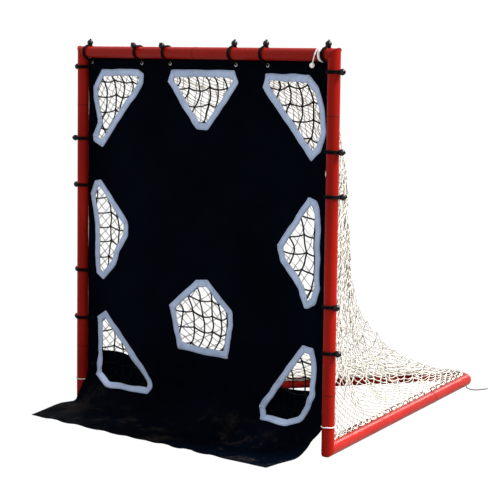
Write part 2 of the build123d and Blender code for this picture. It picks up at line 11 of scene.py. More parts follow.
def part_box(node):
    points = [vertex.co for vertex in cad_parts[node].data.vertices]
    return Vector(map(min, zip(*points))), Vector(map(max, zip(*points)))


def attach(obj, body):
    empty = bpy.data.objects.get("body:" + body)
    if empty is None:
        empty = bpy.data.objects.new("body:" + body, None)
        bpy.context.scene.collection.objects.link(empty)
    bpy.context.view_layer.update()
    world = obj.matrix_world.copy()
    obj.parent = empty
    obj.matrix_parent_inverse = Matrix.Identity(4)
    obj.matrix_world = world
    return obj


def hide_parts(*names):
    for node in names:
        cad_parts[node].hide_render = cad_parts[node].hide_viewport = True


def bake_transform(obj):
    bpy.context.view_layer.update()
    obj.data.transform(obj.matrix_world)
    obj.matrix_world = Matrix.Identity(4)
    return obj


# Field lacrosse goal with a target sheet, in metres. Lengths and places are
# measured from the goal line: x to the right, y to the back, z up. Shape and
# curve makers move them into the frame by the goal line's own place.

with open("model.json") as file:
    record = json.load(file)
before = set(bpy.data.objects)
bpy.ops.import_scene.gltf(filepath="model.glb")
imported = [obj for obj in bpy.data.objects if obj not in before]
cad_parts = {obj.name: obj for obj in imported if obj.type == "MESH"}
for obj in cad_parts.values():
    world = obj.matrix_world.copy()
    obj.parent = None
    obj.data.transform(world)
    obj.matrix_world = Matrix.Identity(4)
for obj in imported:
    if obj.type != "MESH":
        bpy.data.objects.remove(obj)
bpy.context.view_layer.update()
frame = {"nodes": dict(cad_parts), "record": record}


def middle(node):
    """Centre of a CAD node's box."""
    low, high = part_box(node)
    return (low + high) / 2


# Places worked out from the CAD model
GOAL_LINE = middle("post_middle_left").y
POST_X = middle("post_middle_right").x
TUBE_R = (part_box("post_middle_right")[1].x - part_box("post_middle_right")[0].x) / 2
RAIL_Z = (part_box("rear_bend")[0].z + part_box("rear_bend")[1].z) / 2
BAR_Z = middle("crossbar_left").z
SEAM_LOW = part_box("post_middle_left")[0].z
SEAM_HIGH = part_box("post_middle_left")[1].z
CROSSBAR_SEAM_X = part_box("crossbar_left")[1].x
SHEET_Y = middle("target_upper").y - GOAL_LINE
SHEET_TOP = BAR_Z - TUBE_R + 0.005
SHEET_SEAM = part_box("target_upper")[0].z
SHEET_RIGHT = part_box("target_upper")[1].x
RAIL_APEX_Y = 2.134
RAIL_SEAM_FROM_APEX = 0.826
APEX_HALF_ANGLE = atan2(POST_X, RAIL_APEX_Y)
REAR_BEND_R = 0.1
SEAM_LINE_R = 0.0013
LOOP_START = 0.064
LOOP_PITCH = 0.09

# Net
NET_EDGE_X = 0.914
NET_EDGE_Y = 0.046
NET_RIDGE = [  # height, depth of the ridge, roundness of the section
    (0.058, 2.040, 1.0),
    (0.083, 1.940, 1.0),
    (0.145, 1.690, 1.0),
    (0.254, 1.412, 1.0),
    (0.433, 1.203, 1.0),
    (0.649, 1.085, 1.05),
    (0.900, 0.939, 1.32),
    (1.200, 0.718, 2.0),
    (1.500, 0.472, 2.7),
    (1.815, 0.070, 2.7),
]
NET_APEX_Y = 1.957
NET_COLUMNS = 90
NET_ROWS = 68
NET_CORD_R = 0.0026
NET_KNOT_R = 0.0050
NET_FREE_FROM = 9  # knots from an edge
NET_DRIFT = 0.005
NET_JITTER = 0.0021
NET_SAG = 0.004
BASE_ROPE_R = 0.0045
BASE_ROPE_REACH = 0.0352
ROPE_START = 0.06
ROLL_R = 0.0062
ROLL_LIFT = 0.0050
ROLL_STRANDS = 9
ROLL_STRAND_R = 0.0026
ROLL_KNOTS = 70  # on each strand
ROLL_LAY = 0.24
ROLL_WANDER = 0.0034
ROLL_INWARD = 0.003
LASHED_WIDTH = 0.016
LOOPS_END = (2.06, 2.08)
LASHING_R = 0.0015
LASHING_REACH = (0.004, 0.16)
FRONT_ROPE_R = 0.003
FRONT_ROPE_REACH = 0.034

# Target sheet, its bends near the ground and its loose front edge
SHEET_T = 0.002
SHEET_SPACING = 0.019  # between the points of its mesh
SHEET_LEFT = -0.9195
RIGHT_BEND = {"top": 0.170, "upper_r": 0.080, "lower_r": 0.120, "angle": radians(52)}
LEFT_BEND = {"top": 0.175, "upper_r": 0.060, "lower_r": 0.025, "angle": radians(30)}
APRON_RIGHT = (0.940, -0.385)
APRON_LEFT = (-0.720, -0.495)
GROUND_NARROWING = 0.985
RIGHT_PULLS = ((0.655, 0.030, 0.020), (1.310, 0.048, 0.024), (1.680, 0.030, 0.012))
SEAM_RUNS = ((SHEET_LEFT + 0.001, -0.862), (-0.660, 0.656), (0.852, SHEET_RIGHT - 0.001))
SEAM_WIDTH = 0.014

# Cut-outs: outer outlines of the webbing borders, clockwise from the front, as places
# across the sheet and heights on it when it hangs straight
WEBBING_WIDTH = 0.0355
WEBBING_WAVINESS = 0.0022
STITCH_ROWS = (0.14, 0.20, 0.86)  # as shares of the webbing's width
STITCH_PITCH = 0.0062
STITCH_LENGTH = 0.0038
STITCH_R = 0.00055
SHARP_CORNER = radians(32)
CUT_OUTS = {
    "top_left": [
        (-0.810, 1.770), (-0.500, 1.775), (-0.450, 1.750), (-0.465, 1.700), (-0.805, 1.360), (-0.880, 1.390),
        (-0.885, 1.425), (-0.840, 1.495), (-0.855, 1.545), (-0.880, 1.620), (-0.880, 1.675),
    ],
    "top_centre": [
        (-0.235, 1.775), (0.245, 1.780), (0.270, 1.720), (0.045, 1.480), (-0.035, 1.485), (-0.260, 1.715),
    ],
    "top_right": [
        (0.460, 1.770), (0.760, 1.765), (0.830, 1.705), (0.865, 1.605), (0.880, 1.500), (0.850, 1.415),
        (0.790, 1.365), (0.445, 1.700),
    ],
    "middle_left": [
        (-0.865, 1.180), (-0.810, 1.190), (-0.585, 0.985), (-0.580, 0.910), (-0.650, 0.825), (-0.685, 0.750),
        (-0.785, 0.660), (-0.850, 0.690), (-0.865, 0.960), (-0.900, 1.110),
    ],
    "middle_right": [
        (0.770, 1.200), (0.825, 1.185), (0.845, 1.145), (0.855, 1.065), (0.850, 0.850), (0.855, 0.775),
        (0.830, 0.700), (0.780, 0.675), (0.755, 0.675), (0.715, 0.760), (0.585, 0.880), (0.560, 0.960),
    ],
    "lower_left": [
        (-0.840, 0.455), (-0.770, 0.495), (-0.525, 0.300), (-0.380, 0.175), (-0.360, 0.135), (-0.375, 0.095),
        (-0.715, 0.085), (-0.840, 0.140), (-0.830, 0.345),
    ],
    "lower_centre": [
        (-0.035, 0.730), (0.055, 0.740), (0.240, 0.605), (0.245, 0.540), (0.215, 0.360), (-0.170, 0.365),
        (-0.240, 0.585),
    ],
    "lower_right": [
        (0.740, 0.500), (0.820, 0.490), (0.840, 0.415), (0.835, 0.260), (0.790, 0.185), (0.745, 0.130),
        (0.670, 0.090), (0.490, 0.095), (0.445, 0.165),
    ],
}
POCKET_CELL = (0.067, 0.080)
POCKET_DEPTH = 0.050
POCKET_SLOPE = 0.045
POCKET_GAP = 0.0042
POCKET_OVERLAP = 0.012
POCKET_CORD_R = 0.0039
POCKET_KNOT_R = 0.0070
POCKET_CLOTH_TOP = 0.270

# Eyelets, bungees and ties
EYELET_R = 0.010
EYELET_BORE_R = 0.0065
TOP_EYELET_Z = 1.806
SIDE_EYELET_X = 0.886
LOWER_EYELET_Z = 0.200
TOP_BUNGEE_X = (-0.897, -0.475, -0.249, 0.249, 0.475, 0.897)
TOP_BALL_TILTS = (-10, 45, 45, -10, -10, -10)
SIDE_BUNGEE_Z = {-1: (0.444, 0.700, 1.155, 1.404, 1.782), 1: (0.488, 0.704, 1.211, 1.417, 1.782)}
SIDE_BALL_ANGLES = {-1: (3, 5, -6, -19, 0), 1: (7, -10, 42, 10, 4)}
STRAND_R = 0.0042
STRAND_EYE_R = 0.0026
STRAND_GAP = 0.0004
BAND_EYE_R = 0.006
BALL_R = 0.0155
BALL_SEAT = 0.0202
TIE_CORD_R = 0.0024
TIE_GAP = 0.0003
TOP_RIGHT_TIE_X = (0.8671, 0.8720, 0.8769)
TOP_LEFT_TIE_X = -0.908
POST_TIE_Z = {-1: 0.110, 1: 0.143}
WHITE_BALL_R = 0.0125

# Loose cords: the routes of the CAD model
WHITE_CORD_R = 0.003
WHITE_CORD_ROUTE = [
    (0.868, -0.006, 1.8985),
    (0.865, -0.022, 1.893),
    (0.861, -0.035, 1.8795),
    (0.856, -0.040, 1.861),
    (0.850, -0.040, 1.841),
    (0.843, -0.0385, 1.822),
]
TAIL_CORD_R = 0.0025
TAIL_CORD_ROUTE = [
    (0.1205, 1.907, 0.0025),
    (0.143, 1.883, 0.0025),
    (0.172, 1.863, 0.0025),
    (0.200, 1.851, 0.0025),
    (0.224, 1.857, 0.0025),
    (0.236, 1.881, 0.0025),
    (0.242, 1.913, 0.0025),
    (0.243, 1.947, 0.0025),
]

# Camera, from the goal line
CAMERA_PLACE = (6.994, -5.975, 1.857)
CAMERA_YAW = radians(47.867)
CAMERA_PITCH = radians(6.01)
CAMERA_ROLL = radians(0.704)
CAMERA_LENS = 133.82

# Light
SKY_STRENGTH = 0.95
SUNS = {  # where from, strength, width, colour
    "key": ((0.60, 0.50, 0.90), 10.0, radians(24), (1, 0.98, 0.93)),
    "rim": ((-0.36, 0.82, 0.46), 0.8, radians(16), (1, 1, 1)),
}
FLOOR_R = 70
SEEN_WHITE = 1.02  # of the floor and the surroundings, to the camera
FLOOR_BOUNCE = (0.28, 0.28, 0.28)


# --- Numbers and shapes ------------------------------------------------------


def unit(vectors):
    """Vectors of length one."""
    return vectors / np.linalg.norm(vectors, axis=-1, keepdims=True)


def smoothstep(values, low, high):
    """0 below low, 1 above high, smooth between."""
    share = np.clip((np.asarray(values, float) - low) / (high - low), 0, 1)
    return share * share * (3 - 2 * share)


def ripple(points, wavelength, seed, waves=6):
    """Smooth irregular waves through space, mostly between -1 and 1."""
    random = np.random.default_rng(seed)
    total = np.zeros(len(points))
    for _ in range(waves):
        direction = unit(random.normal(size=points.shape[1]))
        stretch = tau * random.uniform(0.6, 1.6) / wavelength
        total += np.sin(points @ direction * stretch + random.uniform(0, tau))
    return total / (0.5 * waves) ** 0.5 / 1.6


def smooth_line(points, count):
    """A cardinal spline through points, as evenly many samples per span."""
    points = np.asarray(points, float)
    padded = np.vstack([2 * points[0] - points[1], points, 2 * points[-1] - points[-2]])
    position = np.linspace(0, len(points) - 1, count)
    span = np.minimum(position.astype(int), len(points) - 2)
    t = (position - span)[:, None]
    a, b, c, d = (padded[span + i] for i in range(4))
    return b + 0.5 * t * (c - a + t * (2 * a - 5 * b + 4 * c - d + t * (3 * (b - c) + d - a)))


def along(path):
    """Distance along a path at each of its points."""
    steps = np.linalg.norm(np.diff(path, axis=0), axis=1)
    return np.concatenate([[0], np.cumsum(steps)])


def resample(path, count, closed=False):
    """A path's points at even distances."""
    path = np.vstack([path, path[:1]]) if closed else np.asarray(path, float)
    distance = along(path)
    wanted = np.linspace(0, distance[-1], count + 1)[:-1] if closed else np.linspace(0, distance[-1], count)
    return np.stack([np.interp(wanted, distance, path[:, k]) for k in range(path.shape[1])], 1)


def sphere_parts(subdivisions):
    """Vertices and triangles of a round ball of radius one."""
    maker = bmesh.new()
    bmesh.ops.create_icosphere(maker, subdivisions=subdivisions, radius=1)
    vertices = np.array([v.co for v in maker.verts])
    faces = np.array([[v.index for v in f.verts] for f in maker.faces])
    maker.free()
    return vertices, faces


class Shape:
    """The vertices and faces of one piece, gathered part by part."""

    def __init__(self):
        self.vertices = []
        self.faces = []
        self.count = 0

    def add(self, vertices, *face_groups):
        """Adds vertices and the faces that use them."""
        for faces in face_groups:
            self.faces.extend((np.asarray(faces) + self.count).tolist())
        self.vertices.append(np.asarray(vertices, float))
        self.count += len(vertices)

    def cords(self, paths, radius, sides=6, closed=False):
        """Round cords along paths that all have the same number of points."""
        paths = np.asarray(paths, float)
        count, steps = paths.shape[:2]
        if closed:
            ahead = unit(np.roll(paths, -1, 1) - np.roll(paths, 1, 1))
        else:
            ahead = unit(np.gradient(paths, axis=1))
        upright = np.abs(ahead[:, 0, 2:3]) > 0.9
        seed = np.where(upright, [[1.0, 0, 0]], [[0, 0, 1.0]])
        side = np.empty_like(paths)
        side[:, 0] = unit(np.cross(ahead[:, 0], seed))
        for i in range(1, steps):
            before = side[:, i - 1]
            drop = (before * ahead[:, i]).sum(1, keepdims=True)
            side[:, i] = unit(before - ahead[:, i] * drop)
        lift = np.cross(ahead, side)
        angle = np.arange(sides) * tau / sides
        ring = side[:, :, None] * np.cos(angle)[:, None] + lift[:, :, None] * np.sin(angle)[:, None]
        size = np.broadcast_to(radius, (count, steps))[:, :, None, None]
        vertices = (paths[:, :, None] + size * ring).reshape(-1, 3)
        index = np.arange(count * steps * sides).reshape(count, steps, sides)
        low = index if closed else index[:, :-1]
        high = np.roll(index, -1, 1) if closed else index[:, 1:]
        corners = [low, np.roll(low, -1, 2), np.roll(high, -1, 2), high]
        walls = np.stack(corners, -1).reshape(-1, 4)
        if closed:
            self.add(vertices, walls)
        else:
            self.add(vertices, walls, index[:, 0, ::-1], index[:, -1])

    def balls(self, centres, radius, subdivisions=1, stretch=(1, 1, 1), seed=None):
        """Small round lumps, turned at random when a seed is given."""
        vertices, faces = sphere_parts(subdivisions)
        vertices = vertices * np.asarray(stretch)
        random = np.random.default_rng(seed)
        sizes = np.broadcast_to(radius, len(centres))
        for centre, size in zip(np.asarray(centres, float), sizes):
            turned = vertices
            if seed is not None:
                axes, _ = np.linalg.qr(random.normal(size=(3, 3)))
                turned = vertices @ axes
            self.add(centre + turned * size, faces)

    def grid(self, points, closed_rows=False, closed_columns=False):
        """A skin over a grid of points, closed on itself where asked."""
        rows, columns = points.shape[:2]
        index = np.arange(rows * columns).reshape(rows, columns)
        if closed_rows:
            index = np.vstack([index, index[:1]])
        if closed_columns:
            index = np.hstack([index, index[:, :1]])
        corners = [index[:-1, :-1], index[:-1, 1:], index[1:, 1:], index[1:, :-1]]
        self.add(points.reshape(-1, 3), np.stack(corners, -1).reshape(-1, 4))

    def piece(self, name, material, slot, replaces=(), body="frame"):
        """Makes the Blender object, in the frame's place, riding on a body."""
        vertices = np.concatenate(self.vertices) + (0, GOAL_LINE, 0)
        mesh = bpy.data.meshes.new(name)
        mesh.from_pydata(vertices.tolist(), [], self.faces)
        mesh.validate()
        mesh.shade_smooth()
        mesh.materials.append(material)
        made = bpy.data.objects.new(name, mesh)
        bpy.context.scene.collection.objects.link(made)
        if body:
            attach(made, body)
        if replaces:
            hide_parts(*replaces)
        return made


# --- Materials ---------------------------------------------------------------


class Finish:
    """A node material around one Principled shader."""

    def __init__(self, name, rough=0.5, metal=0.0, **inputs):
        self.material = bpy.data.materials.new(name)
        self.material.use_nodes = True
        self.tree = self.material.node_tree
        self.shader = self.tree.nodes["Principled BSDF"]
        self.place = self.add("ShaderNodeTexCoord").outputs["Object"]
        self.set("Roughness", rough)
        self.set("Metallic", metal)
        for key, value in inputs.items():
            self.set(key.replace("_", " "), value)

    def add(self, kind, **settings):
        """A new node with some of its settings."""
        node = self.tree.nodes.new(kind)
        for key, value in settings.items():
            setattr(node, key, value)
        return node

    def feed(self, socket, value):
        """Links a socket or sets a plain value."""
        if isinstance(value, bpy.types.NodeSocket):
            self.tree.links.new(value, socket)
        else:
            socket.default_value = value

    def set(self, name, value):
        """Feeds one input of the Principled shader."""
        self.feed(self.shader.inputs[name], value)

    def stretched(self, scale):
        """Object coordinates stretched along the axes."""
        node = self.add("ShaderNodeMapping")
        self.feed(node.inputs["Vector"], self.place)
        node.inputs["Scale"].default_value = scale
        return node.outputs["Vector"]

    def noise(self, scale, detail=3.0, vector=None, rough=0.5):
        """Cloudy noise, from 0 to 1."""
        node = self.add("ShaderNodeTexNoise")
        self.feed(node.inputs["Vector"], vector or self.place)
        node.inputs["Scale"].default_value = scale
        node.inputs["Detail"].default_value = detail
        node.inputs["Roughness"].default_value = rough
        return node.outputs["Fac"]

    def wave(self, scale, direction, distortion=0.0, vector=None):
        """Bands along an axis, from 0 to 1."""
        node = self.add("ShaderNodeTexWave", bands_direction=direction)
        self.feed(node.inputs["Vector"], vector or self.place)
        node.inputs["Scale"].default_value = scale
        node.inputs["Distortion"].default_value = distortion
        return node.outputs["Fac"]

    def height(self):
        """Height above the ground, in metres."""
        node = self.add("ShaderNodeSeparateXYZ")
        self.feed(node.inputs["Vector"], self.place)
        return node.outputs["Z"]

    def ramp(self, factor, *stops):
        """A colour or grey ramp over a factor, from (place, value) pairs."""
        node = self.add("ShaderNodeValToRGB")
        self.feed(node.inputs["Fac"], factor)
        elements = node.color_ramp.elements
        while len(elements) < len(stops):
            elements.new(0.5)
        for element, (place, value) in zip(elements, stops):
            element.position = place
            element.color = (value, value, value, 1) if isinstance(value, (int, float)) else (*value, 1)
        return node.outputs["Color"]

    def mix(self, factor, low, high, blend="MIX"):
        """Mixes two colours."""
        node = self.add("ShaderNodeMix", data_type="RGBA", blend_type=blend)
        self.feed(node.inputs["Factor"], factor)
        for socket, value in (("A", low), ("B", high)):
            colour = (*value, 1) if isinstance(value, tuple) else value
            self.feed(next(s for s in node.inputs if s.name == socket and s.type == "RGBA"), colour)
        return next(s for s in node.outputs if s.type == "RGBA")

    def sum(self, a, b, operation="ADD"):
        """A sum or another operation on two numbers."""
        node = self.add("ShaderNodeMath", operation=operation)
        self.feed(node.inputs[0], a)
        self.feed(node.inputs[1], b)
        return node.outputs["Value"]

    def bump(self, height, distance, strength=1.0):
        """Fine relief of the surface, its distance in metres."""
        node = self.add("ShaderNodeBump")
        node.inputs["Strength"].default_value = strength
        node.inputs["Distance"].default_value = distance
        self.feed(node.inputs["Height"], height)
        self.set("Normal", node.outputs["Normal"])


def paint(name, colour, dark):
    """Powder coat: slight fading, scuffs, an orange-peel skin."""
    finish = Finish(name, rough=0.32, Specular_IOR_Level=0.06)
    fade = finish.ramp(finish.noise(3.0, 4), (0.3, 0.0), (0.75, 1.0))
    colour = finish.mix(fade, dark, colour)
    streaks = finish.noise(14.0, 6, finish.stretched((6, 6, 1.2)), 0.65)
    scuffs = finish.ramp(streaks, (0.66, 0.0), (0.72, 0.75))
    worn = tuple(0.45 * c for c in dark)
    finish.set("Base Color", finish.mix(scuffs, colour, worn))
    grain = finish.ramp(finish.noise(40.0, 5), (0.3, 0.26), (0.7, 0.46))
    finish.set("Roughness", grain)
    peel = finish.sum(finish.noise(260.0, 2), scuffs, "SUBTRACT")
    finish.bump(peel, 0.0004, 0.5)
    return finish.material


def metal(name, colour, rough, scratches=(1, 1, 30)):
    """Bare or plated steel with drawn scratches."""
    finish = Finish(name, rough=rough, metal=1.0)
    lines = finish.noise(30.0, 5, finish.stretched(scratches), 0.7)
    tarnish = finish.ramp(finish.noise(25.0, 4), (0.35, 0.55), (0.7, 1.0))
    finish.set("Base Color", finish.mix(1.0, colour, tarnish, "MULTIPLY"))
    finish.set("Roughness", finish.ramp(lines, (0.3, rough * 0.7), (0.7, min(1, rough * 1.5))))
    finish.bump(lines, 0.0002, 0.4)
    return finish.material


def white_cord_finish(name, colour, stain, strands):
    """Off-white braided cord with a few stains, and painted shade darkening the braid's grooves."""
    finish = Finish(name, rough=0.85, Sheen_Weight=0.15)
    dirt = finish.ramp(finish.noise(7.0, 5, rough=0.6), (0.42, 0.0), (0.75, 0.8))
    braid = finish.sum(
        finish.wave(strands, "DIAGONAL"), finish.wave(strands, "X", vector=finish.stretched((1, -1, 1)))
    )
    # painted shade: the colour is darkened where the braid's bump is low, in its grooves
    painted_groove_shade = finish.ramp(finish.sum(braid, 0.5, "MULTIPLY"), (0.0, 0.82), (0.7, 1.0))
    finish.set("Base Color", finish.mix(1.0, finish.mix(dirt, colour, stain), painted_groove_shade, "MULTIPLY"))
    finish.bump(braid, 0.0006, 0.6)
    return finish.material


def black_cord_finish(name, colour, fleck, strands):
    """Black braided cord with paler flecks in the braid."""
    finish = Finish(name, rough=0.6, Specular_IOR_Level=0.05)
    braid = finish.sum(finish.wave(strands, "DIAGONAL"), finish.wave(strands, "Z"), "MULTIPLY")
    finish.set("Base Color", finish.mix(finish.ramp(braid, (0.55, 0.0), (0.95, 0.6)), colour, fleck))
    finish.bump(braid, 0.0006, 0.6)
    return finish.material


def sheet_finish():
    """Near-black coated fabric: fine weave, scuffs low down and dust on the apron."""
    finish = Finish("sheet_vinyl", rough=0.62, Specular_IOR_Level=0.004)
    weave = finish.sum(finish.wave(180.0, "X"), finish.wave(180.0, "Z"))
    weave = finish.sum(weave, finish.wave(180.0, "Y"))
    cloud = finish.ramp(finish.noise(2.2, 5), (0.35, 0.0), (0.7, 1.0))
    navy = finish.mix(cloud, (0.0002, 0.0009, 0.0026), (0.0006, 0.0018, 0.0050))
    low = finish.ramp(finish.height(), (0.004, 1.0), (0.13, 0.0))
    patches = finish.ramp(finish.noise(3.4, 8, rough=0.72), (0.52, 0.0), (0.68, 1.0))
    speckle = finish.ramp(finish.noise(70.0, 4, rough=0.7), (0.45, 0.15), (0.62, 1.0))
    dust = finish.sum(finish.sum(low, patches, "MULTIPLY"), speckle, "MULTIPLY")
    colour = finish.mix(finish.sum(dust, 0.6, "MULTIPLY"), navy, (0.060, 0.043, 0.034))
    finish.set("Base Color", colour)
    finish.set("Roughness", finish.ramp(finish.noise(9.0, 5), (0.3, 0.50), (0.7, 0.74)))
    creases = finish.sum(finish.noise(16.0, 6, rough=0.6), 6.0, "MULTIPLY")
    finish.bump(finish.sum(weave, creases), 0.0005, 0.5)
    return finish.material


def webbing_finish():
    """Steel-blue woven webbing with a herringbone rib, and painted shade darkening the rib's grooves."""
    finish = Finish("webbing", rough=0.8, Sheen_Weight=0.25)
    ribs = finish.sum(finish.wave(110.0, "DIAGONAL"), finish.wave(110.0, "X"), "MULTIPLY")
    cloud = finish.ramp(finish.noise(11.0, 6, rough=0.65), (0.3, 0.0), (0.7, 1.0))
    colour = finish.mix(cloud, (0.29, 0.38, 0.58), (0.43, 0.54, 0.77))
    # painted shade: the colour is darkened where the rib's bump is low, in its grooves
    painted_groove_shade = finish.ramp(ribs, (0.0, 0.84), (0.8, 1.0))
    grime = finish.ramp(finish.noise(5.0, 7, rough=0.7), (0.58, 0.0), (0.80, 0.7))
    colour = finish.mix(1.0, colour, painted_groove_shade, "MULTIPLY")
    finish.set("Base Color", finish.mix(grime, colour, (0.14, 0.16, 0.21)))
    finish.bump(ribs, 0.0008, 0.7)
    return finish.material


def plastic(name, colour, rough):
    """Moulded plastic with a slight texture."""
    finish = Finish(name, rough=rough, Specular_IOR_Level=0.25)
    cloud = finish.ramp(finish.noise(30.0, 4), (0.3, 0.75), (0.7, 1.0))
    finish.set("Base Color", finish.mix(1.0, colour, cloud, "MULTIPLY"))
    finish.bump(finish.noise(500.0, 2), 0.0003, 0.4)
    return finish.material


def floor_finish():
    """A floor that is plain white to look at and throws little light back up."""
    finish = Finish("pale_floor", rough=0.9, Specular_IOR_Level=0.0)
    seen = finish.add("ShaderNodeLightPath").outputs["Is Camera Ray"]
    finish.set("Base Color", finish.mix(seen, FLOOR_BOUNCE, (0.0, 0.0, 0.0)))
    finish.set("Emission Color", (1, 1, 1, 1))
    finish.set("Emission Strength", finish.sum(seen, SEEN_WHITE, "MULTIPLY"))
    return finish.material


FINISHES = {
    "frame_paint": paint("frame_paint", (0.245, 0.0060, 0.0022), (0.180, 0.0036, 0.0014)),
    "loop_paint": paint("loop_paint", (0.085, 0.0025, 0.0020), (0.055, 0.0018, 0.0015)),
    "seam_shadow": paint("seam_shadow", (0.020, 0.0015, 0.0010), (0.012, 0.0010, 0.0008)),
    "sleeve_steel": metal("sleeve_steel", (0.50, 0.50, 0.52), 0.35),
    "button_zinc": metal("button_zinc", (0.62, 0.62, 0.60), 0.3, (20, 20, 1)),
    "spring_steel": metal("spring_steel", (0.32, 0.33, 0.36), 0.3, (1, 30, 1)),
    "eyelet_bright": metal("eyelet_bright", (0.70, 0.70, 0.68), 0.25, (8, 8, 8)),
    "eyelet_dull": metal("eyelet_dull", (0.030, 0.028, 0.026), 0.5, (8, 8, 8)),
    "net_cord": white_cord_finish("net_cord", (0.56, 0.53, 0.49), (0.37, 0.32, 0.27), 320),
    "rope_white": white_cord_finish("rope_white", (0.56, 0.53, 0.49), (0.36, 0.31, 0.26), 210),
    "white_cord": white_cord_finish("white_cord", (0.86, 0.84, 0.84), (0.62, 0.58, 0.56), 300),
    "pocket_net": black_cord_finish("pocket_net", (0.0010, 0.0010, 0.0012), (0.006, 0.006, 0.006), 330),
    "bungee_elastic": black_cord_finish(
        "bungee_elastic", (0.0008, 0.0008, 0.0010), (0.008, 0.008, 0.008), 250
    ),
    "tail_cord": black_cord_finish("tail_cord", (0.010, 0.007, 0.006), (0.035, 0.028, 0.024), 400),
    "sheet_vinyl": sheet_finish(),
    "webbing": webbing_finish(),
    "stitching": white_cord_finish("stitching", (0.20, 0.26, 0.42), (0.10, 0.13, 0.22), 900),
    "bungee_ball": plastic("bungee_ball", (0.0008, 0.0008, 0.0010), 0.35),
    "white_ball": plastic("white_ball", (0.86, 0.83, 0.83), 0.3),
}


def dress_cad_nodes():
    """Gives every CAD node that stays in view its finish."""
    slots = {row["node"]: row["material_slot"] for row in frame["record"]["subparts"]}
    for name, node in frame["nodes"].items():
        finish = FINISHES.get(slots[name])
        if finish:
            node.data.materials.clear()
            node.data.materials.append(finish)


# --- Camera, floor and light -------------------------------------------------


def make_camera():
    """The camera at the photograph's place and angle."""
    yaw, pitch, roll = CAMERA_YAW, CAMERA_PITCH, CAMERA_ROLL
    ahead = Vector((-sin(yaw) * cos(pitch), cos(yaw) * cos(pitch), -sin(pitch)))
    level = Vector((cos(yaw), sin(yaw), 0))
    upright = level.cross(ahead)
    right = cos(roll) * level + sin(roll) * upright
    up = cos(roll) * upright - sin(roll) * level
    data = bpy.data.cameras.new("camera")
    data.lens = CAMERA_LENS
    camera = bpy.data.objects.new("camera", data)
    turn = Matrix((right, up, -ahead)).transposed().to_4x4()
    place = Vector(CAMERA_PLACE) + Vector((0, GOAL_LINE, 0))
    camera.matrix_world = Matrix.Translation(place) @ turn
    bpy.context.scene.collection.objects.link(camera)
    bpy.context.scene.camera = camera


def make_floor():
    """A wide round floor."""
    maker = bmesh.new()
    bmesh.ops.create_circle(maker, cap_ends=True, segments=96, radius=FLOOR_R)
    mesh = bpy.data.meshes.new("floor")
    maker.to_mesh(mesh)
    maker.free()
    mesh.materials.append(floor_finish())
    floor = bpy.data.objects.new("floor", mesh)
    bpy.context.scene.collection.objects.link(floor)


def make_light():
    """White surroundings, a broad soft key from the back right and a weak light from the back left."""
    world = bpy.data.worlds.new("surroundings")
    world.use_nodes = True
    nodes, links = world.node_tree.nodes, world.node_tree.links
    seen = nodes.new("ShaderNodeLightPath").outputs["Is Camera Ray"]
    strength = nodes.new("ShaderNodeMapRange")
    strength.inputs["To Min"].default_value = SKY_STRENGTH
    strength.inputs["To Max"].default_value = SEEN_WHITE
    links.new(seen, strength.inputs["Value"])
    background = nodes["Background"]
    background.inputs["Color"].default_value = (1, 1, 1, 1)
    links.new(strength.outputs["Result"], background.inputs["Strength"])
    bpy.context.scene.world = world
    for name, (origin, strength, width, colour) in SUNS.items():
        data = bpy.data.lights.new(name, "SUN")
        data.energy = strength
        data.angle = width
        data.color = colour
        sun = bpy.data.objects.new(name, data)
        sun.location = Vector(origin) * 6
        sun.rotation_mode = "QUATERNION"
        sun.rotation_quaternion = Vector(origin).to_track_quat("Z", "Y")
        bpy.context.scene.collection.objects.link(sun)
    bpy.context.scene.view_settings.view_transform = "Standard"


# --- Frame details -----------------------------------------------------------


def rail_direction(side):
    """From a post's foot to the apex, along the ground."""
    return unit(np.array([-side * POST_X, RAIL_APEX_Y, 0]))


def rail_inward(side):
    """Level, square to a base rail, towards the inside."""
    ahead = rail_direction(side)
    return np.array([-side * ahead[1], side * ahead[0], 0])


def ring(centre, across, lift, radius, count=48):
    """A closed circle or ellipse about a centre."""
    angle = np.arange(count) * tau / count
    return centre + radius * (np.outer(np.cos(angle), across) + np.outer(np.sin(angle), lift))


def seam_lines():
    """The thin dark gaps where the frame's tubes butt together."""
    shape = Shape()
    x, y, z = np.eye(3)
    reach = TUBE_R - 0.0002
    for side in (-1, 1):
        for height in (SEAM_LOW, SEAM_HIGH):
            shape.cords([ring(np.array([side * POST_X, 0, height]), x, y, reach)], SEAM_LINE_R, closed=True)
        place = np.array([0, RAIL_APEX_Y, RAIL_Z]) - rail_direction(side) * RAIL_SEAM_FROM_APEX
        shape.cords([ring(place, rail_inward(side), z, reach)], SEAM_LINE_R, closed=True)
    shape.cords([ring(np.array([CROSSBAR_SEAM_X, 0, BAR_Z]), y, z, reach)], SEAM_LINE_R, closed=True)
    shape.piece("seam_lines", FINISHES["seam_shadow"], "frame_paint")


def weld_bead(shape, path, seed):
    """A rippled bead of weld along an open path."""
    path = resample(path, 160)
    ripples = 1 + 0.16 * np.sin(np.arange(len(path)) * 1.9) + 0.10 * ripple(path, 0.03, seed)
    shape.cords([path], (0.0021 * ripples)[None], 8)


def welds():
    """The beads at the frame's four mitred corners."""
    shape = Shape()
    angle = np.linspace(0, tau, 97)
    for side in (-1, 1):
        top = np.array([side * POST_X, 0, BAR_Z])
        across = np.outer(np.cos(angle), [side, 0, 1]) + np.outer(np.sin(angle), [0, 1, 0])
        weld_bead(shape, top + across * (TUBE_R + 0.0004), 11 + side)
        foot = np.array([side * POST_X, 0, RAIL_Z])
        ahead = rail_direction(side)
        upper = np.linspace(radians(-8), radians(188), 64)
        lift = np.outer(np.sin(upper), ahead + [0, 0, 1]) + np.outer(np.cos(upper), rail_inward(side))
        weld_bead(shape, foot + lift * (TUBE_R + 0.0004), 21 + side)
    shape.piece("weld_beads", FINISHES["frame_paint"], "frame_paint")


# --- Net ---------------------------------------------------------------------


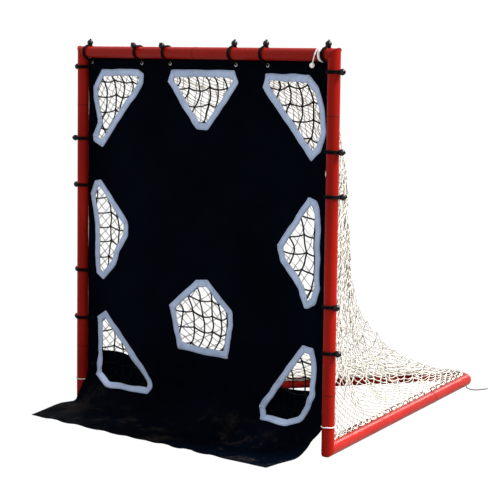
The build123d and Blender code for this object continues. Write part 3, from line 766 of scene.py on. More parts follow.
def net_columns():
    """The net's surface as one line of points per column, from the base to the top."""
    height, ridge, roundness = smooth_line(NET_RIDGE, 400).T
    share = np.linspace(-1, 1, NET_COLUMNS + 1)
    stations = 0.62 * share + 0.38 * np.sin(share * pi / 2)
    stations /= stations[-1]
    rows = np.linspace(0, 1, NET_ROWS + 1)
    lines = []
    for station in stations:
        depth = NET_EDGE_Y + (ridge - NET_EDGE_Y) * (1 - np.abs(station) ** roundness)
        depth = -0.02 * np.log(np.exp(-depth / 0.02) + np.exp(-NET_APEX_Y / 0.02))
        line = np.stack([np.full_like(height, station * NET_EDGE_X), depth, height], 1)
        distance = along(line)
        crowding = 0.42 * (1 - abs(station) ** 3)
        share = rows - crowding * np.sin(tau * rows) / tau
        lines.append(np.stack([np.interp(share * distance[-1], distance, line[:, k]) for k in range(3)], 1))
    return np.array(lines)


def slack(points):
    """Moves the net's knots a little, less at its laced edges."""
    columns, rows = points.shape[:2]
    outward = unit(np.cross(np.gradient(points, axis=0), np.gradient(points, axis=1)))
    flat = points.reshape(-1, 3)
    column, row = np.meshgrid(np.arange(columns), np.arange(rows), indexing="ij")
    from_edge = np.minimum.reduce([column, columns - 1 - column, row, rows - 1 - row])
    free = smoothstep(from_edge, 0, NET_FREE_FROM)[..., None]
    sway = 0.011 * ripple(flat, 0.42, 3) + 0.006 * ripple(flat, 0.17, 4)
    drift = np.stack([ripple(flat, 0.13, seed) for seed in (5, 6, 7)], 1) * NET_DRIFT
    jitter = np.random.default_rng(8).normal(size=points.shape) * NET_JITTER
    moved = outward * sway.reshape(columns, rows, 1) + drift.reshape(points.shape) + jitter
    moved[..., 2] -= NET_SAG
    return points + moved * free


def net_bars(points):
    """The cords between the knots of a diamond mesh, each with a slight sag."""
    columns, rows = points.shape[:2]
    bars = []
    for step in (1, -1):
        for i in range(columns - 1):
            start = np.arange(i % 2, rows, 2)
            end = start + step
            kept = (end >= 0) & (end < rows)
            bars.append(np.stack([points[i, start[kept]], points[i + 1, end[kept]]], 1))
    bars = np.concatenate(bars)
    random = np.random.default_rng(9)
    middle_points = bars.mean(1) + random.normal(size=(len(bars), 3)) * 0.0014
    level = np.linalg.norm((bars[:, 1] - bars[:, 0])[:, :2], axis=1)
    middle_points[:, 2] -= 0.06 * level
    return np.stack([bars[:, 0], middle_points, bars[:, 1]], 1)


def front_rope_line():
    """The rope behind the posts and the crossbar, from foot to foot."""
    lift = FRONT_ROPE_REACH / 2**0.5
    x, top = POST_X - lift, BAR_Z - lift
    return np.array([(x, lift, 0.07), (x, lift, top), (-x, lift, top), (-x, lift, 0.07)])


def base_rope_line():
    """The rope beside the rail loops, from the right foot round the apex to the left."""
    lift = BASE_ROPE_REACH / 2**0.5
    straight = np.hypot(POST_X, RAIL_APEX_Y) - REAR_BEND_R / tan(APEX_HALF_ANGLE)
    parts = []
    for side in (1, -1):
        foot = np.array([side * POST_X, 0, RAIL_Z]) + rail_inward(side) * lift + [0, 0, lift]
        distance = np.linspace(ROPE_START, straight, 260)
        parts.append(foot + np.outer(distance, rail_direction(side)))
    bend_y = RAIL_APEX_Y - REAR_BEND_R / sin(APEX_HALF_ANGLE)
    radius = REAR_BEND_R - lift
    angle = np.linspace(APEX_HALF_ANGLE, pi - APEX_HALF_ANGLE, 30)[1:-1]
    bend = np.stack(
        [radius * np.cos(angle), bend_y + radius * np.sin(angle), np.full_like(angle, RAIL_Z + lift)], 1
    )
    return np.vstack([parts[0], bend, parts[1][::-1]])


def twisted(shape, line, radius, lay, count, strands=3, sides=6):
    """A rope of strands laid round a line, a full turn in each lay's length."""
    path = resample(line, count)
    ahead = unit(np.gradient(path, axis=0))
    seed = np.array([0, 0, 1.0]) if abs(ahead[0, 2]) < 0.9 else np.array([0, 1.0, 0])
    side = np.empty_like(path)
    side[0] = unit(np.cross(ahead[0], seed))
    for i in range(1, count):
        side[i] = unit(side[i - 1] - ahead[i] * (side[i - 1] @ ahead[i]))
    lift = np.cross(ahead, side)
    strand_r = radius * 0.54
    turn = along(path) / lay * tau
    for k in range(strands):
        angle = (turn + k * tau / strands)[:, None]
        swirl = side * np.cos(angle) + lift * np.sin(angle)
        shape.cords([path + (radius - strand_r) * swirl], strand_r, sides)


def make_net():
    """The knotted net in two halves, with its edge cords."""
    points = slack(net_columns())
    bars = net_bars(points)
    column, row = np.meshgrid(*(np.arange(n) for n in points.shape[:2]), indexing="ij")
    knots = points[(column + row) % 2 == 0]
    for word, side in (("left", -1), ("right", 1)):
        shape = Shape()
        own = bars[bars[:, 1, 0] * side > 0]
        swell = np.array([1.12, 0.92, 1.12])
        shape.cords(own, NET_CORD_R * swell[None], 4)
        shape.balls(knots[knots[:, 0] * side > 0], NET_KNOT_R, 1, (1.15, 0.9, 0.8), seed=12)
        shape.piece(f"net_{word}", FINISHES["net_cord"], "net_cord", ["net"] if side > 0 else [])
    edges = Shape()
    for line in (points[0], points[-1], points[:, -1]):
        edges.cords([resample(line, 240)], NET_CORD_R * 1.5, 6)
    edges.piece("net_edge_cords", FINISHES["net_cord"], "net_cord")
    return points


def nearest(line, points):
    """The points of a densely sampled line that are closest to some points."""
    return np.array([line[np.argmin(((line - p) ** 2).sum(1))] for p in points])


def lashings(points):
    """Short turns of cord that tie the net's edge knots to the ropes."""
    shape = Shape()
    front = resample(front_rope_line(), 2400)
    base = resample(base_rope_line(), 2400)
    random = np.random.default_rng(15)
    jobs = [
        (points[0, ::2], front),
        (points[-1, ::2], front),
        (points[::2, -1], front),
        (points[::2, 0], base),
    ]
    for knots, rope in jobs:
        targets = nearest(rope, knots)
        for knot, target in zip(knots, targets):
            reach = np.linalg.norm(target - knot)
            if not LASHING_REACH[0] <= reach <= LASHING_REACH[1]:
                continue
            outward = unit(target - knot)
            sideways = unit(np.cross(outward, random.normal(size=3)))
            angle = np.linspace(0, tau, 15)[:-1]
            far = target + outward * 0.004
            centre, half = (knot + far) / 2, np.linalg.norm(far - knot) / 2 + 0.002
            width = min(0.0052, half)
            loop = centre + np.outer(np.cos(angle) * half, outward)
            loop = loop + np.outer(np.sin(angle) * width, sideways)
            shape.cords([loop], LASHING_R, 5, closed=True)
    shape.piece("net_lashings", FINISHES["rope_white"], "rope_white")


def make_ropes():
    """The base rope and the front rope, each laid from three strands."""
    shape = Shape()
    twisted(shape, base_rope_line(), BASE_ROPE_R, 0.030, 1500)
    shape.piece("base_rope_laid", FINISHES["rope_white"], "rope_white", ["base_rope"])
    shape = Shape()
    twisted(shape, front_rope_line(), FRONT_ROPE_R, 0.022, 2000)
    shape.piece("front_rope_laid", FINISHES["rope_white"], "rope_white", ["front_rope"])


def gathered_edge():
    """The net's lower edge, rolled round the base rope and lashed under every rail loop."""
    path = resample(base_rope_line(), 1100)
    ahead = unit(np.gradient(path, axis=0))
    inward = unit(np.cross([0, 0, 1.0], ahead))
    distance = along(path)
    from_foot = ROPE_START + np.minimum(distance, distance[-1] - distance)
    off_loop = (from_foot - LOOP_START + LOOP_PITCH / 2) % LOOP_PITCH - LOOP_PITCH / 2
    held = np.exp(-((off_loop / LASHED_WIDTH) ** 2)) * (1 - smoothstep(from_foot, *LOOPS_END))
    swell = 1 + 0.22 * ripple(path, 0.16, 29)
    centre = path + inward * ROLL_INWARD + np.outer(ROLL_LIFT * (1 - held), [0, 0, 1.0])
    shape = Shape()
    random = np.random.default_rng(28)
    for k in range(ROLL_STRANDS):
        phase = k * tau / ROLL_STRANDS + distance / ROLL_LAY * tau + 0.9 * ripple(path, 0.3, 50 + k)
        swirl = np.outer(np.cos(phase), [0, 0, 1.0]) + np.sin(phase)[:, None] * inward
        wander = np.stack([ripple(path, 0.09, 60 + 3 * k + n) for n in range(3)], 1)
        reach = ROLL_R * swell * (1 - 0.45 * held)
        strand = centre + swirl * reach[:, None] + wander * ROLL_WANDER
        shape.cords([strand], ROLL_STRAND_R, 5)
        at = random.integers(0, len(path), ROLL_KNOTS)
        shape.balls(strand[at], ROLL_STRAND_R * 1.9, 1, (1.2, 0.9, 0.8), seed=30 + k)
    shape.piece("net_gathered_edge", FINISHES["net_cord"], "net_cord")


# --- Target sheet ------------------------------------------------------------


def profile(bend):
    """Side view of the sheet as distance from its top, y and z: face, two bends, ground."""
    turn, floor_z = bend["angle"], SHEET_T / 2
    upper_r, lower_r = bend["upper_r"], bend["lower_r"]
    lower_z = floor_z + lower_r
    drop = bend["top"] - lower_z - (upper_r - lower_r) * sin(turn)
    run = drop / cos(turn)
    upper_y = SHEET_Y - upper_r
    lower_y = upper_y + (upper_r - lower_r) * cos(turn) - run * sin(turn)
    first = np.linspace(0, turn, 24)
    second = np.linspace(turn, pi / 2, 24)
    points = [(SHEET_Y, SHEET_TOP)]
    points += [(upper_y + upper_r * cos(a), bend["top"] - upper_r * sin(a)) for a in first]
    points += [(lower_y + lower_r * cos(a), lower_z - lower_r * sin(a)) for a in second]
    points += [(lower_y - 0.6, floor_z)]
    points = np.array(points)
    return along(points), points


# Distance from the sheet's top to where its deeper bend meets the ground
GROUND_AT = profile(RIGHT_BEND)[0][-2]


def scallop(place, held):
    """Waves of height 1 between the places where an edge is held, and each wave's width."""
    held = np.array(held)
    slot = np.clip(np.searchsorted(held, place) - 1, 0, len(held) - 2)
    gap = held[slot + 1] - held[slot]
    return np.sin(pi * np.clip((place - held[slot]) / gap, 0, 1)) ** 2, gap


def edge_shift(x, s):
    """How far the sheet's side edges draw in between their eyelets, to the right positive."""
    z = SHEET_TOP - s
    waves = {}
    for side in (-1, 1):
        held = [-0.05, LOWER_EYELET_Z, *SIDE_BUNGEE_Z[side], SHEET_TOP + 0.02]
        wave, gap = scallop(z, held)
        waves[side] = wave * gap
    left = 0.006 * waves[-1] * smoothstep(-x, 0.88, -SHEET_LEFT)
    right = np.minimum(0.045 * waves[1], 0.013) * smoothstep(x, 0.868, SHEET_RIGHT)
    for height, reach, depth in RIGHT_PULLS:
        right += depth * np.exp(-(((z - height) / reach) ** 2)) * smoothstep(x, 0.84, SHEET_RIGHT)
    return left - right


def top_recess(x, s):
    """How far the sheet's top edge sags between its eyelets."""
    wave, _ = scallop(x, TOP_BUNGEE_X)
    return wave * 0.002 * (1 - smoothstep(s, 0.0, 0.035))


def sheet_place(x, s):
    """Where a point of the flat sheet lies: x across it, s down from its top edge."""
    x, s = np.asarray(x, float), np.asarray(s, float)
    leftness = smoothstep(-x, 0.25, 0.88)
    places = []
    for bend in (RIGHT_BEND, LEFT_BEND):
        distance, points = profile(bend)
        held = np.minimum(s, GROUND_AT)
        places.append(np.stack([np.interp(held, distance, points[:, k]) for k in (0, 1)], 1))
    side_view = places[0] * (1 - leftness[:, None]) + places[1] * leftness[:, None]
    bending = smoothstep(s, SHEET_TOP - 0.2, GROUND_AT)
    narrowed = x * (1 - bending * (1 - GROUND_NARROWING))
    across = narrowed + edge_shift(x, s)
    tucked = 0.004 * smoothstep(-x, 0.893, -SHEET_LEFT)
    point = np.stack([across, side_view[:, 0] - tucked, side_view[:, 1] - top_recess(x, s)], 1)
    share = (x - SHEET_LEFT) / (SHEET_RIGHT - SHEET_LEFT)
    front = np.array(APRON_LEFT) + np.outer(share, np.subtract(APRON_RIGHT, APRON_LEFT))
    length = np.linalg.norm(front - point[:, :2], axis=1)
    forward = np.clip((s - GROUND_AT) / np.maximum(length, 1e-6), 0, 1)
    on_ground = (s > GROUND_AT)[:, None]
    laid = point[:, :2] + (front - point[:, :2]) * forward[:, None]
    point[:, :2] = np.where(on_ground, laid, point[:, :2])
    return point


def sheet_length(x):
    """The sheet's length from its top edge to its front edge at a place across it."""
    x = np.atleast_1d(np.asarray(x, float))
    fold = sheet_place(x, np.full_like(x, GROUND_AT))
    front = sheet_place(x, np.full_like(x, 9.0))
    return GROUND_AT + np.linalg.norm(front - fold, axis=1)


def sheet_point(x, s, offset=0.0):
    """A point of the hung sheet, moved off its front face by an offset."""
    x, s = np.broadcast_arrays(np.asarray(x, float), np.asarray(s, float))
    step = 0.002
    here = sheet_place(x, s)
    across = sheet_place(x + step, s) - sheet_place(x - step, s)
    down = sheet_place(x, s + step) - sheet_place(x, s - step)
    front = unit(np.cross(across, -down))
    hanging = 1 - smoothstep(s, SHEET_TOP - 0.30, SHEET_TOP - 0.05)
    near_edge = smoothstep(np.abs(x), 0.80, SHEET_RIGHT)
    near_top = 1 - smoothstep(s, 0.0, 0.12)
    free = hanging * (1 - 0.8 * near_edge) * (1 - 0.8 * near_top)
    flat = np.stack([x, 1.9 * s], 1)
    sway = 0.0036 * ripple(flat, 0.60, 41) + 0.0012 * ripple(flat, 0.16, 42)
    laid = smoothstep(s, GROUND_AT - 0.02, GROUND_AT + 0.10)
    rumple = 0.5 + 0.5 * ripple(np.stack([1.6 * x, 0.5 * s], 1), 0.30, 43)
    lift = laid * 0.006 * np.clip(rumple, 0, 1) ** 1.5
    ease = smoothstep(s, SHEET_TOP - 0.42, SHEET_TOP - 0.20) * (1 - laid)
    curl = 0.005 * ripple(flat, 0.20, 44) * ease * smoothstep(here[:, 2], 0.01, 0.06)
    place = here + front * (sway * free + lift + curl + offset)[:, None]
    place[:, 2] = np.maximum(place[:, 2], SHEET_T / 2)
    return place


def inset(points, margin):
    """A clockwise outline moved inwards by a margin, its corners kept sharp."""
    points = np.asarray(points, float)
    edges = unit(np.roll(points, -1, 0) - points)
    inward = np.stack([edges[:, 1], -edges[:, 0]], 1)
    moved = []
    for i, point in enumerate(points):
        a, b = inward[i - 1], inward[i]
        moved.append(point + (a + b) * margin / (1 + a @ b))
    return np.array(moved)


def eased(line):
    """A closed line with its corners slightly eased."""
    return (np.roll(line, 1, 0) + 2 * line + np.roll(line, -1, 0)) / 4


def wavy(line, seed):
    """An outline with the slight waviness of sewn webbing."""
    shift = np.stack([ripple(line, 0.17, seed), ripple(line, 0.17, seed + 1)], 1)
    return line + shift * WEBBING_WAVINESS


def webbing_lines(name):
    """A border's outer and inner edges, point facing point, and its sharp corners."""
    outer = np.array(CUT_OUTS[name])
    polygons = (outer, inset(outer, WEBBING_WIDTH))
    ahead = unit(np.roll(outer, -1, 0) - outer)
    turn = np.arccos(np.clip((ahead * np.roll(ahead, 1, 0)).sum(1), -1, 1))
    edges, folds, total = ([], []), [], 0
    for i, following in enumerate(np.roll(outer, -1, 0)):
        if turn[i] > SHARP_CORNER:
            folds.append(total)
        count = max(3, round(np.linalg.norm(following - outer[i]) / 0.007))
        share = np.arange(count)[:, None] / count
        for edge, polygon in zip(edges, polygons):
            edge.append(polygon[i] + share * (polygon[(i + 1) % len(outer)] - polygon[i]))
        total += count
    seed = 60 + 4 * list(CUT_OUTS).index(name)
    outer_line, inner_line = (eased(np.concatenate(edge)) for edge in edges)
    return wavy(outer_line, seed), wavy(inner_line, seed), folds


def hole_line(name, margin=WEBBING_WIDTH):
    """The opening's edge in a cut-out, a margin inside the webbing's outer edge."""
    outer, inner, _ = webbing_lines(name)
    return outer + (inner - outer) * (margin / WEBBING_WIDTH)


def to_flat(line):
    """Points given by their height on the sheet hung straight, as points (x, s)."""
    return np.stack([line[:, 0], SHEET_TOP - line[:, 1]], 1)


def inside(points, line):
    """Which points lie inside a closed line."""
    result = np.zeros(len(points), bool)
    following = np.roll(line, -1, 0)
    for (x1, z1), (x2, z2) in zip(line, following):
        if z1 == z2:
            continue
        crosses = (points[:, 1] > min(z1, z2)) & (points[:, 1] <= max(z1, z2))
        at = x1 + (points[:, 1] - z1) * (x2 - x1) / (z2 - z1)
        result ^= crosses & (points[:, 0] < at)
    return result


def flat_sheet():
    """The flat sheet with its holes, as points (x, s) and triangles."""
    across = np.linspace(SHEET_LEFT, SHEET_RIGHT, int((SHEET_RIGHT - SHEET_LEFT) / SHEET_SPACING) + 1)
    lengths = sheet_length(across)
    rows = int(lengths.max() / SHEET_SPACING)
    share = np.linspace(0, 1, rows + 1)
    grid = np.stack([np.repeat(across, rows + 1), np.outer(lengths, share).ravel()], 1)
    rim = [(across[0], s) for s in share * lengths[0]]
    rim += [(x, length) for x, length in zip(across[1:], lengths[1:])]
    rim += [(across[-1], s) for s in (share * lengths[-1])[-2::-1]]
    rim += [(x, 0.0) for x in across[-2:0:-1]]
    loops = [np.array(rim)] + [to_flat(hole_line(name)) for name in CUT_OUTS]
    keep = np.ones(len(grid), bool)
    for loop in loops[1:]:
        keep &= ~inside(grid, loop)
    for loop in loops:
        nearest_rim = np.min([((grid - point) ** 2).sum(1) for point in loop], axis=0)
        keep &= nearest_rim > (0.45 * SHEET_SPACING) ** 2
    points = np.concatenate([*loops, grid[keep]])
    edges, start = [], 0
    for loop in loops:
        count = len(loop)
        edges += [(start + i, start + (i + 1) % count) for i in range(count)]
        start += count
    found = delaunay_2d_cdt([Vector(p) for p in points], edges, [], 0, 1e-7)
    points, triangles = np.array(found[0]), np.array(found[2])
    centres = points[triangles].mean(1)
    keep = inside(centres, loops[0])
    for loop in loops[1:]:
        keep &= ~inside(centres, loop)
    triangles = triangles[keep]
    a, b, c = (points[triangles[:, k]] for k in range(3))
    doubled = (b[:, 0] - a[:, 0]) * (c[:, 1] - a[:, 1]) - (b[:, 1] - a[:, 1]) * (c[:, 0] - a[:, 0])
    kept = np.abs(doubled) > 1e-9
    return points, triangles[kept], float(np.abs(doubled[kept]).sum() / 2)


def make_sheet():
    """The target sheet, which bends across its fold on the ground."""
    points, triangles, area = flat_sheet()
    shape = Shape()
    shape.add(sheet_point(points[:, 0], points[:, 1]), triangles)
    piece = shape.piece(
        "target_sheet", FINISHES["sheet_vinyl"], "sheet_vinyl",
        ["target_upper", "target_lower", "target_apron"], body=None,
    )
    thickness = piece.modifiers.new("thickness", "SOLIDIFY")
    thickness.thickness = SHEET_T
    thickness.offset = 0
    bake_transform(piece)
    width, length = SHEET_RIGHT - SHEET_LEFT, float(sheet_length([SHEET_LEFT])[0])


def make_seam():
    """The lapped seam across the sheet, broken by the two middle holes."""
    shape = Shape()
    for low, high in SEAM_RUNS:
        x = np.linspace(low, high, max(6, int((high - low) / 0.012)))
        down = SHEET_TOP - SHEET_SEAM + 0.0016 * ripple(x[:, None], 0.25, 45)
        upper = np.stack([x, down - SEAM_WIDTH / 2], 1)
        lower = np.stack([x, down + SEAM_WIDTH / 2], 1)
        ribbon(shape, upper, lower, 0.0008, 0.0026)
    return shape.piece("sheet_seam", FINISHES["sheet_vinyl"], "sheet_vinyl")


def ribbon(shape, flat_left, flat_right, low, high, closed=False):
    """A flat band on the sheet between two lines (x, s), from a low to a high offset."""
    share = np.linspace(0, 1, 5)
    count = len(flat_left)
    grid = np.stack([flat_left + (flat_right - flat_left) * t for t in share], 1).reshape(-1, 2)
    crown = np.tile([0.0, 0.0003, 0.0004, 0.0003, 0.0], count)
    top = band_face(grid, crown + high)
    bottom = band_face(grid, np.full(len(grid), low))
    top, bottom = top.reshape(count, 5, 3), bottom.reshape(count, 5, 3)
    section = np.concatenate([top, bottom[:, ::-1]], 1)
    shape.grid(section, closed_rows=closed, closed_columns=True)
    if not closed:
        start = np.array([list(range(9, -1, -1))])
        shape.faces.extend((start + shape.count - len(section) * 10).tolist())
        shape.faces.extend((start[:, ::-1] + shape.count - 10).tolist())


def band_face(flat, offsets):
    """Points (x, s) of the sheet, each with an offset of its own."""
    base = sheet_point(flat[:, 0], flat[:, 1])
    raised = sheet_point(flat[:, 0], flat[:, 1], 0.001)
    return base + (raised - base) * (offsets / 0.001)[:, None]


def make_border(name):
    """One sewn webbing border: four-sided band, corner folds and stitches."""
    row = name.split("_")[0]
    outer, inner, folds = webbing_lines(name)
    inner_flat = to_flat(inner - 0.0006 * unit(inner - outer))
    outer_flat = to_flat(outer)
    shape = Shape()
    ribbon(shape, outer_flat, inner_flat, 0.0010, 0.0032, closed=True)
    for corner in folds:
        fold = np.array([(corner + k) % len(outer) for k in (-1, 0, 1)])
        ribbon(shape, outer_flat[fold], inner_flat[fold], 0.0012, 0.0044)
    piece = shape.piece(f"border_{name}", FINISHES["webbing"], "webbing", [f"borders_{row}"])
    threads = stitches(outer_flat, inner_flat)
    thread = threads.piece(f"border_stitches_{name}", FINISHES["stitching"], "webbing")
    return [piece, thread]


def stitches(outer_flat, inner_flat):
    """Three rows of short stitches along a border."""
    shape = Shape()
    for share in STITCH_ROWS:
        line = outer_flat + (inner_flat - outer_flat) * share
        closed = np.vstack([line, line[:1]])
        distance = along(closed)
        starts = np.arange(0, distance[-1], STITCH_PITCH)
        reach = np.array([0.0, 0.5, 1.0]) * STITCH_LENGTH
        at = (starts[:, None] + reach).ravel() % distance[-1]
        flat = np.stack([np.interp(at, distance, closed[:, k]) for k in (0, 1)], 1)
        height = np.tile([0.0027, 0.0040, 0.0027], len(starts))
        shape.cords(band_face(flat, height).reshape(-1, 3, 3), STITCH_R, 4)
    return shape


# --- Pockets -----------------------------------------------------------------


def rim_distance(points, line):
    """Distance of points to a closed line, positive inside."""
    start, end = line, np.roll(line, -1, 0)
    best = np.full(len(points), 9.0)
    for a, b in zip(start, end):
        run = b - a
        share = np.clip(((points - a) @ run) / max(run @ run, 1e-12), 0, 1)
        best = np.minimum(best, np.linalg.norm(points - a - share[:, None] * run, axis=1))
    return np.where(inside(points, line), best, -best)


def pocket_place(flat, line, seed, offset=0.0):
    """Points behind a hole, hung back into a bag from the sheet's own surface."""
    depth = rim_distance(flat, line)
    slackness = 1 + 0.2 * ripple(flat, 0.22, seed)
    back = POCKET_DEPTH * (1 - np.exp(-np.maximum(depth, 0) / POCKET_SLOPE)) * slackness
    back = np.minimum(back, POCKET_DEPTH)
    place = sheet_point(flat[:, 0], SHEET_TOP - flat[:, 1], -(POCKET_GAP + back + offset))
    place[:, 2] -= 0.10 * back
    return place


def clipped(start, end, line):
    """A cord's two ends, the outer one moved in to the hole's rim."""
    if not inside(np.array([start]), line)[0]:
        start, end = end, start
    low, high = 0.0, 1.0
    for _ in range(16):
        half = (low + high) / 2
        if inside(np.array([start + (end - start) * half]), line)[0]:
            low = half
        else:
            high = half
    return start, start + (end - start) * high


def slack_cord(start, end, random):
    """A cord between two knots of a pocket, bowed at random and sagging where it's level."""
    share = np.linspace(0, 1, 7)[:, None]
    cord = start + (end - start) * share
    bow = 4 * share * (1 - share)
    level = abs(end[0] - start[0]) / np.linalg.norm(end - start)
    return cord + bow * [random.normal() * 0.0018, -0.003 * level + random.normal() * 0.001]


def make_pocket(name):
    """The black knotted net behind one hole."""
    number = list(CUT_OUTS).index(name)
    random = np.random.default_rng(80 + number)
    grown = hole_line(name, WEBBING_WIDTH - POCKET_OVERLAP)
    width, height = POCKET_CELL
    low, high = grown.min(0) - (width, height), grown.max(0) + (width, height)
    columns = int((high[0] - low[0]) / width) + 2
    rows = int((high[1] - low[1]) / height) + 2
    column, row = np.meshgrid(np.arange(columns), np.arange(rows), indexing="ij")
    x = low[0] + (column + random.uniform(0, 1)) * width + 0.05 * width * (row % 2)
    z = low[1] + (row + random.uniform(0, 1)) * height + 0.085 * height * (-1.0) ** column
    knots = np.stack([x, z], -1)
    knots += random.normal(size=knots.shape) * 0.0024
    flat = knots.reshape(-1, 2)
    flat += np.stack([ripple(flat, 0.5, 90 + number), ripple(flat, 0.5, 100 + number)], 1) * 0.009
    knots = flat.reshape(knots.shape)
    within = inside(flat, grown).reshape(columns, rows)
    paths = []
    for i in range(columns):
        for j in range(rows):
            for a, b in ((i + 1, j), (i, j + 1)):
                if a >= columns or b >= rows or not (within[i, j] or within[a, b]):
                    continue
                start, end = knots[i, j], knots[a, b]
                if not (within[i, j] and within[a, b]):
                    start, end = clipped(start, end, grown)
                paths.append(pocket_place(slack_cord(start, end, random), grown, 110 + number))
    shape = Shape()
    shape.cords(paths, POCKET_CORD_R, 6)
    centres = pocket_place(flat[within.ravel()], grown, 110 + number)
    shape.balls(centres, POCKET_KNOT_R, 2, (1.1, 0.85, 0.9), seed=120 + number)
    edge = pocket_place(grown, grown, 110 + number)
    shape.cords([edge], POCKET_CORD_R, 6, closed=True)
    shape.piece(f"pocket_net_{name}", FINISHES["pocket_net"], "pocket_net", [f"pocket_{name}"])
    if name in ("lower_left", "lower_right"):
        pocket_cloth(name, grown)


def pocket_cloth(name, line):
    """The solid fabric that closes the lower part of a lower corner pocket."""
    left, right = line[:, 0].min(), line[:, 0].max()
    bottom = line[:, 1].min()
    columns, rows = 44, 24
    share_x, share_z = np.meshgrid(np.linspace(0, 1, columns), np.linspace(0, 1, rows), indexing="ij")
    x = left + (right - left) * share_x
    outer = share_x if right > 0 else 1 - share_x
    top = POCKET_CLOTH_TOP + 0.012 * outer - 0.004 + 0.003 * np.sin(9 * share_x)
    z = bottom + (top - bottom) * share_z
    flat = np.stack([x.ravel(), z.ravel()], 1)
    depth = rim_distance(flat, line)
    border = nearest(line, flat)
    flat = np.where((depth < -0.004)[:, None], border + (flat - border) * 0.05, flat)
    fold = 0.0075 + 0.0025 * ripple(flat, 0.12, 141)
    shape = Shape()
    front = pocket_place(flat, line, 140, fold).reshape(columns, rows, 3)
    back = pocket_place(flat, line, 140, fold + 0.0016).reshape(columns, rows, 3)
    rim_rows = np.concatenate([front, back[:, ::-1]], 1)
    shape.grid(rim_rows, closed_columns=True)
    shape.grid(np.stack([front[0], back[0]]))
    shape.grid(np.stack([back[-1], front[-1]]))
    cloth = shape.piece(f"pocket_cloth_{name}", FINISHES["sheet_vinyl"], "pocket_net")
    merge = bmesh.new()
    merge.from_mesh(cloth.data)
    bmesh.ops.remove_doubles(merge, verts=merge.verts, dist=0.00001)
    bmesh.ops.recalc_face_normals(merge, faces=merge.faces)
    merge.to_mesh(cloth.data)
    merge.free()


# --- Eyelets, bungees and ties -----------------------------------------------


def eyelet(shape, x, z):
    """A rolled eyelet through the sheet: two domed flanges and a barrel."""
    middle_r = (EYELET_R + EYELET_BORE_R) / 2
    half = (EYELET_R - EYELET_BORE_R) / 2
    section = [(EYELET_BORE_R, y) for y in (-0.0012, 0.0, 0.0012)]
    bulge = np.linspace(pi, 0, 7)[1:]
    section += [(middle_r + half * cos(a), 0.0012 + 0.0011 * sin(a)) for a in bulge]
    section += [(middle_r + half * cos(a), -0.0012 - 0.0011 * sin(a)) for a in bulge[::-1]]
    angle = np.arange(28) * tau / 28
    radius, depth = np.array(section).T
    points = np.empty((len(angle), len(section), 3))
    points[..., 0] = x + np.outer(np.cos(angle), radius)
    points[..., 1] = SHEET_Y + depth
    points[..., 2] = z + np.outer(np.sin(angle), radius)
    base = sheet_point(np.array([x]), np.array([SHEET_TOP - z]))[0]
    points[..., 1] += base[1] - SHEET_Y
    shape.grid(points, closed_rows=True, closed_columns=True)


def make_eyelets():
    """Bright eyelets along the top and dull ones down the sides."""
    top, sides = Shape(), Shape()
    for x in TOP_BUNGEE_X:
        eyelet(top, x, TOP_EYELET_Z)
    for side in (-1, 1):
        for z in (*SIDE_BUNGEE_Z[side], LOWER_EYELET_Z):
            eyelet(sides, side * SIDE_EYELET_X, z)
    return [
        top.piece("eyelets_top", FINISHES["eyelet_bright"], "grommet_metal", ["grommets"]),
        sides.piece("eyelets_side", FINISHES["eyelet_dull"], "grommet_metal"),
    ]


def belt(tube_r, eye_r, eye, steps=96):
    """A closed line round a tube at the origin and round a small circle at an eye."""
    heading = atan2(eye[1], eye[0])
    distance = np.hypot(*eye)
    spread = pi / 2 - asin((tube_r - eye_r) / distance)
    big = np.linspace(heading + spread, heading + tau - spread, 48)
    small = np.linspace(heading - spread, heading + spread, 16)
    points = [(tube_r * cos(a), tube_r * sin(a)) for a in big]
    points += [(eye[0] + eye_r * cos(a), eye[1] + eye_r * sin(a)) for a in small]
    return resample(np.array(points), steps, closed=True)


